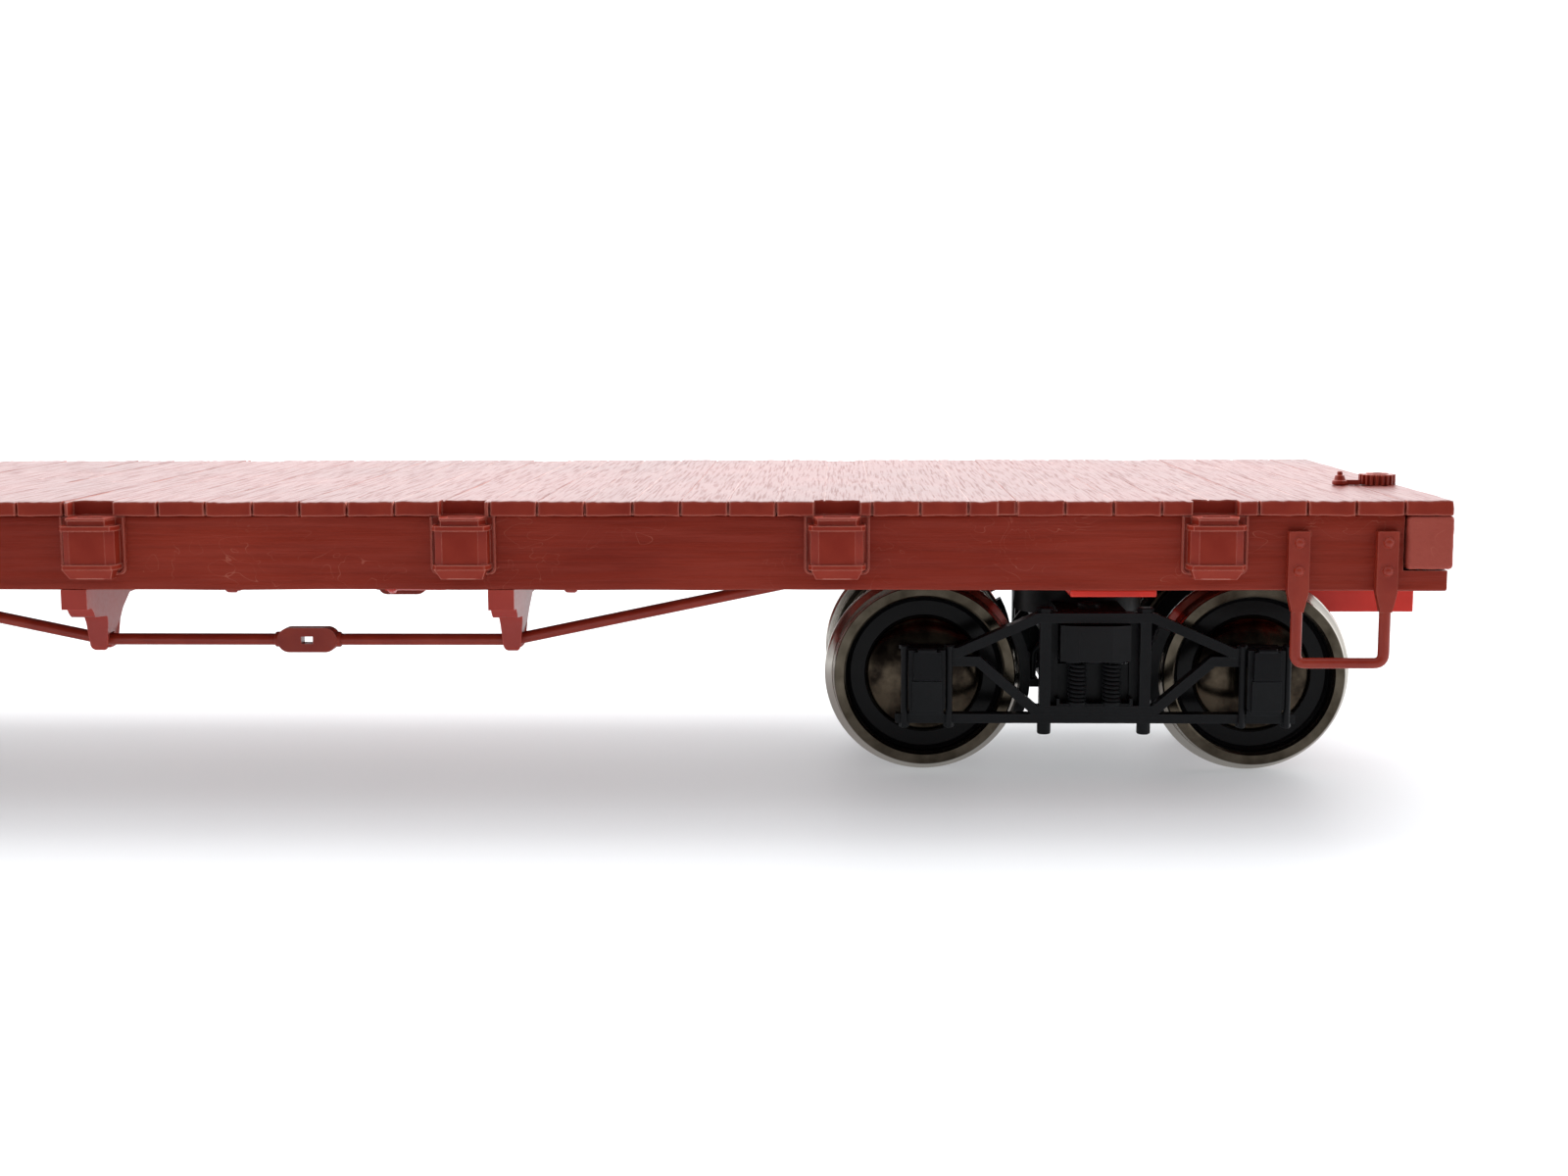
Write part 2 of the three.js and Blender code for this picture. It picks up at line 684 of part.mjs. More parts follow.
// Cross bolster that the body rests on: its ends pass between the columns over the springs.
function truckBolster() {
  const half = 3.05;
  const lower = 10.05;
  const upper = 13.4;
  const endY = 14.9;
  const saddleHalf = 3.75;
  const saddleY = 11.4;
  const saddleRise = 0.9;
  const bearingRadius = 5.9;
  const headRecess = 2.6;
  const headRecessTop = 12.1;
  const beam = box(-half, half, -endY, endY, lower, upper);
  const [saddleBottom, saddleTop] = [lower + saddleRise, upper + saddleRise];
  const saddle = box(-saddleHalf, saddleHalf, -saddleY, saddleY, saddleBottom, saddleTop);
  const bearing = cylinderZ(bearingRadius, 0, 0, upper - 1, centreBearingTop, 20);
  const pinHole = cylinderZ(kingpinRadius + gap, 0, 0, lower - 1, centreBearingTop + 1);
  const recess = cylinderZ(headRecess, 0, 0, lower - 1, headRecessTop);
  return joined([beam, saddle, bearing]).subtract(pinHole).subtract(recess);
}

// Wheel with a flange, a coned tread, a deep dish and a domed hub plate.
function wheel() {
  const bore = axleRadius + gap;
  const outer = wheelBack + wheelWidth;
  const flange = treadRadius + flangeDepth;
  const cone = 0.05;
  const flangeProfile = [
    [flange - 0.25, wheelBack], [flange, wheelBack + 0.35], [flange - 0.3, wheelBack + 0.75],
  ];
  const treadProfile = [[treadRadius + cone, wheelBack + 1.05], [treadRadius - cone, outer]];
  const dishProfile = [[7.1, outer], [6.8, outer - 1.4], [5.2, outer - 1.4], [4.6, outer - 0.6]];
  const profile = [...flangeProfile, ...treadProfile, ...dishProfile, [bore, outer - 0.25]];
  return turnedAboutY([[bore, wheelBack], ...profile, [bore, wheelBack]], 0, 0, 24);
}

// Axle with a plain middle, slimmer journals and pointed ends.
function axle() {
  const shoulder = wheelBack + wheelWidth + 0.4;
  const journalEnd = 13.5;
  const tip = 14.2;
  return turnedAboutY([
    [0, -tip], [journalRadius, -journalEnd], [journalRadius, -shoulder], [axleRadius, -shoulder],
    [axleRadius, shoulder], [journalRadius, shoulder], [journalRadius, journalEnd], [0, tip],
  ], 0, 0, 8);
}

for (const [end, direction] of [['front', 1], ['rear', -1]]) {
  const truck = new THREE.Group();
  truck.position.set(direction * truckX, 0, 0);
  addPiece(`truck_${end}_frame_left`, sideFrame(), truckBlack, truck);
  addPiece(`truck_${end}_frame_right`, mirroredY(sideFrame()), truckBlack, truck);
  addPiece(`truck_${end}_bolster`, truckBolster(), truckBlack, truck);
  for (const [place, along] of [['outer', direction], ['inner', -direction]]) {
    const wheelset = new THREE.Group();
    wheelset.position.set(along * halfBase, 0, axleZ);
    addPiece(`${end}_${place}_axle`, axle(), steel, wheelset);
    addPiece(`${end}_${place}_wheel_left`, wheel(), wheelMetal, wheelset);
    addPiece(`${end}_${place}_wheel_right`, mirroredY(wheel()), wheelMetal, wheelset);
    truck.add(wheelset);
  }
  car.add(truck);
}

car.position.z = flangeDepth;

export default car;
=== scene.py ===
"""The looks of the model flat car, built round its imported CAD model."""
import math

import bmesh
import bpy
from mathutils import Matrix, Vector, noise


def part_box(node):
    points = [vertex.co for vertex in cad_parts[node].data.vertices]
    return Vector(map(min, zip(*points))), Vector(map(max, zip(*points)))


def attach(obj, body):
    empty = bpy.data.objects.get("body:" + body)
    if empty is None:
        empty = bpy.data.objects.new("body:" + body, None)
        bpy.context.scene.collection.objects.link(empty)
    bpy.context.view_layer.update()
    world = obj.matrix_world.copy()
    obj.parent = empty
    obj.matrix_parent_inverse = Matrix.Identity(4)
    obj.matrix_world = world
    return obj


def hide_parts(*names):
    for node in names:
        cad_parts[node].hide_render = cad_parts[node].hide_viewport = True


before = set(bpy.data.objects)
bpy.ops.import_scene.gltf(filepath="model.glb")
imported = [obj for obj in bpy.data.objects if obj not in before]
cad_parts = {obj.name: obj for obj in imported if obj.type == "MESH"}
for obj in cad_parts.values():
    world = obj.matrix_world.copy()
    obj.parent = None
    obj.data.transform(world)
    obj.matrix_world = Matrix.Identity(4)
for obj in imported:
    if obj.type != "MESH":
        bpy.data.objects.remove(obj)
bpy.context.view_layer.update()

MM = 0.001
X, Y, Z = 0, 1, 2
SIDES = ("left", "right")
ENDS = {"front": 1, "rear": -1}
TREAD_RADIUS = 8.2
FLANGE_DEPTH = 0.75
axle_low, axle_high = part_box("front_outer_axle")
RAIL_TOP = (axle_low.z + axle_high.z) / 2 / MM - TREAD_RADIUS     # above the lowest points of the flanges


def box_mm(node):
    """The lowest and highest corners of a CAD node, in millimetres, with heights above the rail top."""
    return [[corner.x / MM, corner.y / MM, corner.z / MM - RAIL_TOP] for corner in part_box(node)]


def middle_mm(node):
    """The middle of a CAD node, in the same terms."""
    low, high = box_mm(node)
    return [(a + b) / 2 for a, b in zip(low, high)]


# ---- Camera, light and floor ---------------------------------------------------------------

LENS = 45.07                                                  # millimetres, for a sensor 36 mm wide
CAMERA_PLACE = (0.04578, -0.1836, 0.01376)                    # metres; its height is above the deck top
CAMERA_TURN, CAMERA_TILT, CAMERA_ROLL = 1.57, -7.51, -0.18    # degrees, from level and square to the car


def make_camera():
    """A camera low beside the brake end, looking slightly down across the car."""
    data = bpy.data.cameras.new("camera")
    data.sensor_width = 36.0
    data.lens = LENS
    data.clip_start, data.clip_end = 0.005, 20.0
    camera = bpy.data.objects.new("camera", data)
    camera.location = Vector(CAMERA_PLACE) + Vector((0, 0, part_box("deck")[1].z))
    turn = Matrix.Rotation(math.radians(CAMERA_TURN), 3, "Z")
    tilt = Matrix.Rotation(math.radians(90 + CAMERA_TILT), 3, "X")
    roll = Matrix.Rotation(math.radians(CAMERA_ROLL), 3, "Z")
    camera.rotation_euler = (turn @ tilt @ roll).to_euler()
    bpy.context.scene.collection.objects.link(camera)
    bpy.context.scene.camera = camera


def make_room():
    """A white room, brightest behind the car and dim on this side above the horizon."""
    bpy.context.scene.view_settings.view_transform = "Standard"
    world = bpy.data.worlds.new("studio")
    n = Nodes(world, "Background")
    way = n.coordinates("Generated")
    sky = n.between(n.split(way, "Y"), 0.10, 2.1, -0.75, 0.1)
    horizon = n.between(n.split(way, "Z"), 0.5, 0.0, 0.05, 0.11)
    n.shade("Strength", n.math("MAXIMUM", sky, horizon))
    n.shade("Color", (0.975, 0.985, 1.0))
    bpy.context.scene.world = world


def make_lights():
    """One wide soft lamp above and behind the car, that the camera doesn't see."""
    data = bpy.data.lights.new("overhead", "AREA")
    data.shape = "RECTANGLE"
    data.size, data.size_y = 0.9, 0.4
    data.energy = 3.0
    data.color = (1.0, 0.99, 0.97)
    lamp = bpy.data.objects.new("overhead", data)
    lamp.location = (0.0, 0.3, 0.6)
    aim = Vector((0.03, 0.0, 0.015)) - lamp.location
    lamp.rotation_euler = aim.to_track_quat("-Z", "Y").to_euler()
    lamp.visible_camera = False
    bpy.context.scene.collection.objects.link(lamp)


def make_floor():
    """A pale floor that fades to white in the distance and to grey on the near side, out of view."""
    bpy.ops.mesh.primitive_plane_add(size=12.0, location=(0, 0, 0))
    floor = bpy.context.object
    floor.name = "floor"
    n = new_material("floor")
    place = n.coordinates()
    far = n.between(n.vector_value("LENGTH", place), 0.0, 1.0, 0.15, 1.2)
    near = n.between(n.split(place, "Y"), 1.0, 0.0, -0.20, -0.10)
    pale = n.mix(far, (0.52, 0.53, 0.54), (0.66, 0.67, 0.68))
    n.shade("Base Color", n.mix(near, pale, (0.14, 0.13, 0.12)))
    n.shade("Emission Color", (0.96, 0.98, 1.0))
    n.shade("Emission Strength", n.between(near, 0.34, 0.03))
    n.shade("Roughness", 0.55)
    n.shade("Specular IOR Level", 0.3)
    floor.data.materials.append(n.owner)


# ---- Materials -----------------------------------------------------------------------------

class Nodes:
    """Short calls for building the node tree of a material or of the world."""

    def __init__(self, owner, shader):
        owner.use_nodes = True
        self.owner = owner
        self.tree = owner.node_tree
        self.shader = self.tree.nodes[shader]

    def add(self, kind, **settings):
        node = self.tree.nodes.new(kind)
        for key, value in settings.items():
            setattr(node, key, value)
        return node

    def fill(self, socket, value):
        """Puts another node's output, a colour (a tuple) or a plain value into a socket."""
        if hasattr(value, "is_linked"):
            self.tree.links.new(value, socket)
        elif isinstance(value, tuple):
            socket.default_value = (*value, 1.0)
        else:
            socket.default_value = value

    def shade(self, socket_name, value):
        """Sets one of the shader's own sockets."""
        self.fill(self.shader.inputs[socket_name], value)

    def coordinates(self, kind="Object"):
        return self.add("ShaderNodeTexCoord").outputs[kind]

    def split(self, vector, axis):
        node = self.add("ShaderNodeSeparateXYZ")
        self.fill(node.inputs["Vector"], vector)
        return node.outputs[axis]

    def place(self, scale):
        """The object's own coordinates, stretched by scale per millimetre."""
        mapping = self.add("ShaderNodeMapping")
        self.fill(mapping.inputs["Scale"], [value / MM for value in scale])
        self.fill(mapping.inputs["Vector"], self.coordinates())
        return mapping.outputs["Vector"]

    def noise(self, scale, detail=4.0, roughness=0.55, distortion=0.0):
        node = self.add("ShaderNodeTexNoise")
        settings = {"Scale": 1.0, "Detail": detail, "Roughness": roughness, "Distortion": distortion,
                    "Vector": self.place(scale)}
        for socket_name, value in settings.items():
            self.fill(node.inputs[socket_name], value)
        return node.outputs["Fac"]

    def ramp(self, value, stops):
        """A colour from two stops, each its position and its colour."""
        node = self.add("ShaderNodeValToRGB")
        for element, (position, colour) in zip(node.color_ramp.elements, stops):
            element.position = position
            element.color = (*colour, 1.0)
        self.fill(node.inputs["Fac"], value)
        return node.outputs["Color"]

    def mottled(self, scale, dark, light, detail=3.0):
        """A colour that drifts between two in broad patches."""
        return self.ramp(self.noise(scale, detail), [(0.3, dark), (0.7, light)])

    def between(self, value, low, high, from_low=0.0, from_high=1.0):
        node = self.add("ShaderNodeMapRange")
        settings = {"Value": value, "To Min": low, "To Max": high,
                    "From Min": from_low, "From Max": from_high}
        for socket_name, setting in settings.items():
            self.fill(node.inputs[socket_name], setting)
        return node.outputs["Result"]

    def mix(self, share, colour_a, colour_b):
        node = self.add("ShaderNodeMix", data_type="RGBA")
        for index, value in ((0, share), (6, colour_a), (7, colour_b)):
            self.fill(node.inputs[index], value)
        return node.outputs[2]

    def math(self, operation, first, second=0.0):
        node = self.add("ShaderNodeMath", operation=operation)
        self.fill(node.inputs[0], first)
        self.fill(node.inputs[1], second)
        return node.outputs[0]

    def vector_value(self, operation, *vectors):
        node = self.add("ShaderNodeVectorMath", operation=operation)
        for socket, vector in zip(node.inputs, vectors):
            self.fill(socket, vector)
        return node.outputs["Value"]

    def bump(self, height, distance, strength, before=None):
        node = self.add("ShaderNodeBump")
        self.fill(node.inputs["Distance"], distance * MM)
        self.fill(node.inputs["Strength"], strength)
        self.fill(node.inputs["Height"], height)
        if before is not None:
            self.fill(node.inputs["Normal"], before)
        return node.outputs["Normal"]

    def edge_wear_and_highlight(self, colour, edge, width, wear_and_highlight):
        """A colour that turns to another within width of an edge: partly paint worn thin there, partly a
        painted highlight where the edge catches light.
        """
        rounded = self.add("ShaderNodeBevel", samples=4)
        self.fill(rounded.inputs["Radius"], width * MM)
        face = self.add("ShaderNodeNewGeometry").outputs["True Normal"]
        likeness = self.vector_value("DOT_PRODUCT", rounded.outputs["Normal"], face)
        rise = self.between(likeness, 1.0, 0.0, 0.80, 0.97)
        # mixes in the pale edge colour: wear and a painted highlight
        return self.mix(self.math("MULTIPLY", rise, wear_and_highlight), colour, edge)


def new_material(name):
    return Nodes(bpy.data.materials.new(name), "Principled BSDF")


def painted_material(name, colours, grain_scale, gloss, pit, depth, shine):
    """Satin oxide-red paint over moulded wood grain; grain_scale is per millimetre along X, Y, Z.

    Gloss is the roughness of the grain's ridges and pit that of its pits, which are painted darker by depth:
    painted shade for the shadow in the pits.
    """
    dark, light, edge = colours
    n = new_material(name)
    colour = n.mottled((0.05, 0.05, 0.09), dark, light)
    streak = n.noise(grain_scale, roughness=0.62, distortion=0.1)
    ridge = n.between(streak, 0.0, 1.0, 0.33, 0.50)
    # painted shade: the grain's pits are darkened towards near-black by depth, for the shadow that falls in
    # them
    painted_pit_shade = n.mix(ridge, n.mix(depth, colour, (0.03, 0.002, 0.001)), colour)
    scuff = n.noise((0.22, 0.22, 0.34), detail=1.0, distortion=2.2)
    line = n.between(n.math("ABSOLUTE", n.math("SUBTRACT", scuff, 0.5)), 1.0, 0.0, 0.0, 0.006)
    patches = n.between(n.noise((0.11, 0.11, 0.2), detail=2.0), 0.0, 0.5, 0.52, 0.62)
    scuffed = n.mix(n.math("MULTIPLY", line, patches), painted_pit_shade, edge)
    # pale edges and seams: worn paint and a painted highlight within 0.16 mm of each edge
    n.shade("Base Color", n.edge_wear_and_highlight(scuffed, edge, 0.16, 0.6))
    n.shade("Roughness", n.mix(ridge, (pit, pit, pit), (gloss, gloss, gloss)))
    n.shade("Specular IOR Level", shine)
    fine = n.noise([value * 2.5 for value in grain_scale], detail=2.0)
    n.shade("Normal", n.bump(fine, 0.006, 0.5, before=n.bump(streak, 0.08, 0.7)))
    return n.owner


def moulded_material(name, colours, gloss, shine, patches, lumps, relief, rim, wear_and_highlight):
    """A plain lumpy surface in broad patches, pale within rim of its edges: worn there, and a painted
    highlight.

    Patches and lumps are per millimetre; relief and rim are in millimetres.
    """
    dark, light, edge = colours
    n = new_material(name)
    colour = n.mottled((patches, patches, patches), dark, light)
    # pale edges: wear and a painted highlight
    n.shade("Base Color", n.edge_wear_and_highlight(colour, edge, rim, wear_and_highlight))
    n.shade("Specular IOR Level", shine)
    bumps = n.noise((lumps, lumps, lumps))
    n.shade("Roughness", n.between(bumps, gloss - 0.08, gloss + 0.12))
    n.shade("Normal", n.bump(bumps, relief, 0.5))
    return n.owner


def casting_material(name, colours, gloss, shine, wear_and_highlight, rim=0.18):
    """Satin oxide-red paint over a small plain casting."""
    return moulded_material(name, colours, gloss, shine, 0.4, 1.6, 0.03, rim, wear_and_highlight)


def plastic_material(name, colours, gloss, shine):
    """Bare moulded plastic, finer and more even than paint."""
    return moulded_material(name, colours, gloss, shine, 0.12, 2.5, 0.012, 0.1, 0.6)


def metal_material(name, dark, light, gloss):
    """Turned, plated metal: mottled plating and fine tool marks."""
    n = new_material(name)
    n.shade("Base Color", n.mottled((0.3, 0.3, 0.3), dark, light, detail=4.0))
    n.shade("Metallic", 1.0)
    fine = n.noise((3.0, 3.0, 3.0), detail=3.0)
    n.shade("Roughness", n.between(fine, gloss - 0.06, gloss + 0.1))
    n.shade("Normal", n.bump(fine, 0.004, 0.5))
    return n.owner


def wheel_material(name, hub_radius, rim_radius, tread_radius):
    """Plated wheel: a dark mottled hub plate and rim, a black dish and a polished tread and flange."""
    n = new_material(name)
    radius = n.vector_value("LENGTH", n.place((1.0, 0.0, 1.0)))       # from the wheel's own axis
    mottle = n.noise((0.35, 0.35, 0.35), detail=5.0)
    hub = n.ramp(mottle, [(0.42, (0.012, 0.009, 0.007)), (0.66, (0.085, 0.066, 0.046))])
    rim = n.ramp(mottle, [(0.36, (0.042, 0.034, 0.024)), (0.66, (0.105, 0.088, 0.066))])
    polish = n.between(radius, 0.0, 1.0, tread_radius - 0.12, tread_radius - 0.02)
    on_rim = n.between(radius, 0.0, 1.0, rim_radius - 0.3, rim_radius - 0.2)
    plate = n.mix(on_rim, hub, n.mix(polish, rim, (0.48, 0.45, 0.41)))
    outside = n.between(radius, 0.0, 1.0, hub_radius - 0.05, hub_radius + 0.05)
    inside = n.between(radius, 1.0, 0.0, rim_radius - 0.1, rim_radius)
    dish = n.math("MULTIPLY", outside, inside)
    n.shade("Base Color", n.mix(dish, plate, (0.005, 0.005, 0.0055)))
    n.shade("Metallic", n.math("SUBTRACT", 1.0, dish))
    n.shade("Roughness", n.between(n.noise((0.9, 0.9, 0.9)), 0.10, 0.26))
    n.shade("Specular IOR Level", 0.1)
    rings = n.math("MULTIPLY", n.math("SINE", n.math("MULTIPLY", radius, 60.0)), 0.5)
    n.shade("Normal", n.bump(rings, 0.0015, 0.4))
    return n.owner


# Each paint or plastic is its dark patches, its light patches and its edge colour, which is worn paint and
# scuffs with a painted highlight.
SCUFF_AND_HIGHLIGHT = (0.55, 0.16, 0.11)
WORN_AND_HIGHLIT_RIM = (0.62, 0.22, 0.17)
# pale rim of bare plastic: a painted highlight
HIGHLIT_BARE_RIM = (0.78, 0.12, 0.08)
TIMBER_RED = ((0.225, 0.019, 0.009), (0.315, 0.034, 0.017), SCUFF_AND_HIGHLIGHT)
# the deck's pale edge colour is a painted highlight along the plank seams
TOP_RED = ((0.15, 0.017, 0.011), (0.21, 0.028, 0.019), (0.72, 0.42, 0.38))
END_RED = ((0.235, 0.020, 0.010), (0.31, 0.033, 0.016), WORN_AND_HIGHLIT_RIM)
BEAM_RED = ((0.355, 0.057, 0.039), (0.43, 0.088, 0.064), SCUFF_AND_HIGHLIGHT)
CASTING_RED = ((0.26, 0.020, 0.009), (0.33, 0.034, 0.016), WORN_AND_HIGHLIT_RIM)
FORGING_RED = (*CASTING_RED[:2], SCUFF_AND_HIGHLIGHT)
# bright bare red plastic: its own red, raised further as a painted glow for light shining through it
BARE_RED_AND_GLOW = ((0.62, 0.019, 0.009), (0.84, 0.032, 0.016), HIGHLIT_BARE_RIM)
POST_RED = ((0.34, 0.020, 0.010), (0.43, 0.034, 0.019), HIGHLIT_BARE_RIM)
# the greyer edge colour of the black plastic is a painted highlight
TRUCK_BLACK = ((0.006, 0.007, 0.008), (0.011, 0.012, 0.0135), (0.035, 0.037, 0.041))

HUB_PLATE = 5.2          # radii of a wheel's hub plate and of the inside of its rim
RIM_INSIDE = 7.1

MATERIALS = {
    "deck_red": painted_material("deck_paint", TOP_RED, (5.0, 0.17, 1.2), gloss=0.35, pit=0.54,
                                 depth=0.20, shine=0.8),
    "body_red": painted_material("timber_paint", TIMBER_RED, (0.10, 1.2, 2.4), gloss=0.44, pit=0.58,
                                 depth=0.14, shine=0.17),
    "beam_paint": painted_material("beam_paint", BEAM_RED, (1.6, 0.12, 2.0), gloss=0.46, pit=0.60,
                                   depth=0.06, shine=0.2),
    "plank_end": casting_material("plank_end_paint", END_RED, gloss=0.46, shine=0.18, wear_and_highlight=1.0, rim=0.3),
    "casting": casting_material("casting_paint", CASTING_RED, gloss=0.38, shine=0.2, wear_and_highlight=0.9),
    "forging": casting_material("forging_paint", FORGING_RED, gloss=0.33, shine=0.34, wear_and_highlight=0.35),
    "moulded_red": plastic_material("moulded_red", BARE_RED_AND_GLOW, gloss=0.38, shine=0.4),
    "queen_red": plastic_material("queen_red", POST_RED, gloss=0.36, shine=0.45),
    "truck_black": plastic_material("truck_black", TRUCK_BLACK, gloss=0.36, shine=0.14),
    "wheel_metal": wheel_material("wheel_metal", HUB_PLATE, RIM_INSIDE, TREAD_RADIUS - 0.05),
    "steel": metal_material("steel", (0.50, 0.49, 0.47), (0.62, 0.61, 0.59), 0.3),
}


# ---- Solid forms, in millimetres -----------------------------------------------------------

class Form:
    """Closed shells that don't meet each other: points in millimetres and the faces between them."""

    def __init__(self, points=(), faces=()):
        self.points = [Vector(point) for point in points]
        self.faces = [list(face) for face in faces]

    def add(self, other):
        start = len(self.points)
        self.points += other.points
        self.faces += [[start + index for index in face] for face in other.faces]
        return self

    def moved(self, x):
        return Form([point + Vector((x, 0, 0)) for point in self.points], self.faces)

    def flipped(self, axis):
        """The mirror image across the middle plane of one axis."""
        points = [point.copy() for point in self.points]
        for point in points:
            point[axis] = -point[axis]
        return Form(points, [face[::-1] for face in self.faces])

    def twice(self, axis):
        """The form and its mirror image."""
        return Form(self.points, self.faces).add(self.flipped(axis))

    def mesh(self, name):
        """A Blender mesh, still in millimetres, with its faces pointing out."""
        mesh = bpy.data.meshes.new(name)
        mesh.from_pydata(self.points, [], self.faces)
        shape = bmesh.new()
        shape.from_mesh(mesh)
        bmesh.ops.recalc_face_normals(shape, faces=shape.faces)
        shape.to_mesh(mesh)
        shape.free()
        return mesh


def all_of(forms):
    """One form from several that don't meet."""
    whole = Form()
    for form in forms:
        whole.add(form)
    return whole


def lofted(rings, closed=False):
    """A skin over rings of equally many points; closed joins the last ring to the first."""
    count = len(rings[0])
    faces = []
    for row in range(len(rings) if closed else len(rings) - 1):
        near, far = row * count, (row + 1) % len(rings) * count
        for k in range(count):
            following = (k + 1) % count
            faces.append((near + k, near + following, far + following, far + k))
    if not closed:
        faces.append(range(count - 1, -1, -1))
        faces.append(range((len(rings) - 1) * count, len(rings) * count))
    return Form([point for ring in rings for point in ring], faces)


def block(x0, x1, y0, y1, z0, z1):
    return lofted([[(x0, y0, z), (x1, y0, z), (x1, y1, z), (x0, y1, z)] for z in (z0, z1)])


def along(axis, across, place):
    """A point from its place along one axis and its two places on the others, in X, Y, Z order."""
    point = list(across)
    point.insert(axis, place)
    return point


def prism(outline, start, end, axis):
    """An outline on the two other axes, carried along one axis."""
    return lofted([[along(axis, point, place) for point in outline] for place in (start, end)])


def turned(profile, centre, axis, segments=48):
    """A body turned about an axis through centre; the profile is a closed list of (radius, place)."""
    points, faces = [], []
    rows = [[] for _ in profile]
    for row, (radius, place) in enumerate(profile):
        for k in range(segments if radius > 0 else 1):
            angle = 2 * math.pi * k / segments
            across = (radius * math.cos(angle), radius * math.sin(angle))
            rows[row].append(len(points))
            points.append(Vector(along(axis, across, place)) + Vector(centre))
    open_profile = profile[0][0] == 0 and profile[-1][0] == 0
    for row in range(len(rows) - 1 if open_profile else len(rows)):
        near, far = rows[row], rows[(row + 1) % len(rows)]
        for k in range(segments):
            corners = (near[k % len(near)], near[(k + 1) % len(near)],
                       far[(k + 1) % len(far)], far[k % len(far)])
            faces.append(list(dict.fromkeys(corners)))
    return Form(points, [face for face in faces if len(face) > 2])


def arc(centre, radius, start, end, steps):
    """Points on an arc in a plane; the angles are in degrees."""
    angles = [math.radians(start + (end - start) * k / steps) for k in range(steps + 1)]
    return [(centre[0] + radius * math.cos(a), centre[1] + radius * math.sin(a)) for a in angles]


def cylinder(radius, start, end, centre, axis, rounding=0.0, segments=32):
    """A round bar with eased ends, between two places on an axis through centre."""
    r = min(rounding, radius * 0.9)
    if r == 0.0:
        return turned([(0, start), (radius, start), (radius, end), (0, end)], centre, axis, segments)
    lower = [(radius - r + a, start + r + b) for a, b in arc((0, 0), r, -90, 0, 4)]
    upper = [(radius - r + a, end - r + b) for a, b in arc((0, 0), r, 0, 90, 4)]
    return turned([(0, start), *lower, *upper, (0, end)], centre, axis, segments)


def hexagon(radius, start, end, centre, axis):
    """A nut with its corners eased at the outer end."""
    ease = radius * 0.12
    return turned([(0, start), (radius, start), (radius, end - ease), (radius - ease, end), (0, end)],
                  centre, axis, 6)


def tube(points, radius, sides=16, squeeze=(1, 1, 1)):
    """A round bar that follows a line of points; squeeze flattens it along X, Y and Z."""
    points = [Vector(point) for point in points]
    turns = [2 * math.pi * k / sides for k in range(sides)]
    rings = []
    for k, point in enumerate(points):
        before, after = points[max(k - 1, 0)], points[min(k + 1, len(points) - 1)]
        forward = (after - before).normalized()
        side = forward.cross(Vector((0, 1, 0) if abs(forward.y) < 0.9 else (0, 0, 1))).normalized()
        up = side.cross(forward)
        ways = [side * math.cos(t) + up * math.sin(t) for t in turns]
        rings.append([point + way * radius * Vector(squeeze) for way in ways])
    return lofted(rings)


def eased(points, radius, steps=6):
    """A line of points with its corners rounded off over a length of radius on each side."""
    points = [Vector(point) for point in points]
    line = [points[0]]
    for before, corner, after in zip(points, points[1:], points[2:]):
        start = corner + (before - corner).normalized() * radius
        end = corner + (after - corner).normalized() * radius
        for k in range(steps + 1):
            share = k / steps
            line.append(start.lerp(corner, share).lerp(corner.lerp(end, share), share))
    return [*line, points[-1]]


def strip_outline(points, thickness):
    """The outline of a flat bar of even thickness that follows a line, with mitred bends."""
    above, below = [], []
    line = [Vector(point) for point in points]
    for k, point in enumerate(line):
        first = (point - line[k - 1]).normalized() if k else (line[1] - point).normalized()
        second = (line[k + 1] - point).normalized() if k + 1 < len(line) else first
        normals = [Vector((-way.y, way.x)) for way in (first, second)]
        middle = (normals[0] + normals[1]).normalized()
        reach = thickness / 2 / max(middle.dot(normals[0]), 0.5)
        above.append(tuple(point + middle * reach))
        below.append(tuple(point - middle * reach))
    return above + below[::-1]


def both_halves(points):
    """A line or outline over the middle, from its half on the positive side."""
    return list(points) + [(-x, other) for x, other in reversed(points)]


def rounded_ring(width, height, corner, steps):
    """(Point, outward way) pairs round a rectangle with round corners, centred on 0, 0.

    The steps are the spacings along its upper, left, lower and right edges.
    """
    ring = []
    half_width, half_height = width / 2 - corner, height / 2 - corner
    quarters = ((half_width, half_height, 0), (-half_width, half_height, 90),
                (-half_width, -half_height, 180), (half_width, -half_height, 270))
    for index, (x, y, start) in enumerate(quarters):
        for k in range(4):
            angle = math.radians(start + 30 * k)
            way = Vector((math.cos(angle), math.sin(angle)))
            ring.append((Vector((x, y)) + way * corner, way))
        next_x, next_y, _ = quarters[(index + 1) % 4]
        corner_point, way = ring[-1]
        target = Vector((next_x, next_y)) + way * corner
        count = max(1, round((target - corner_point).length / steps[index]))
        ring += [(corner_point.lerp(target, k / count), way) for k in range(1, count)]
    return ring


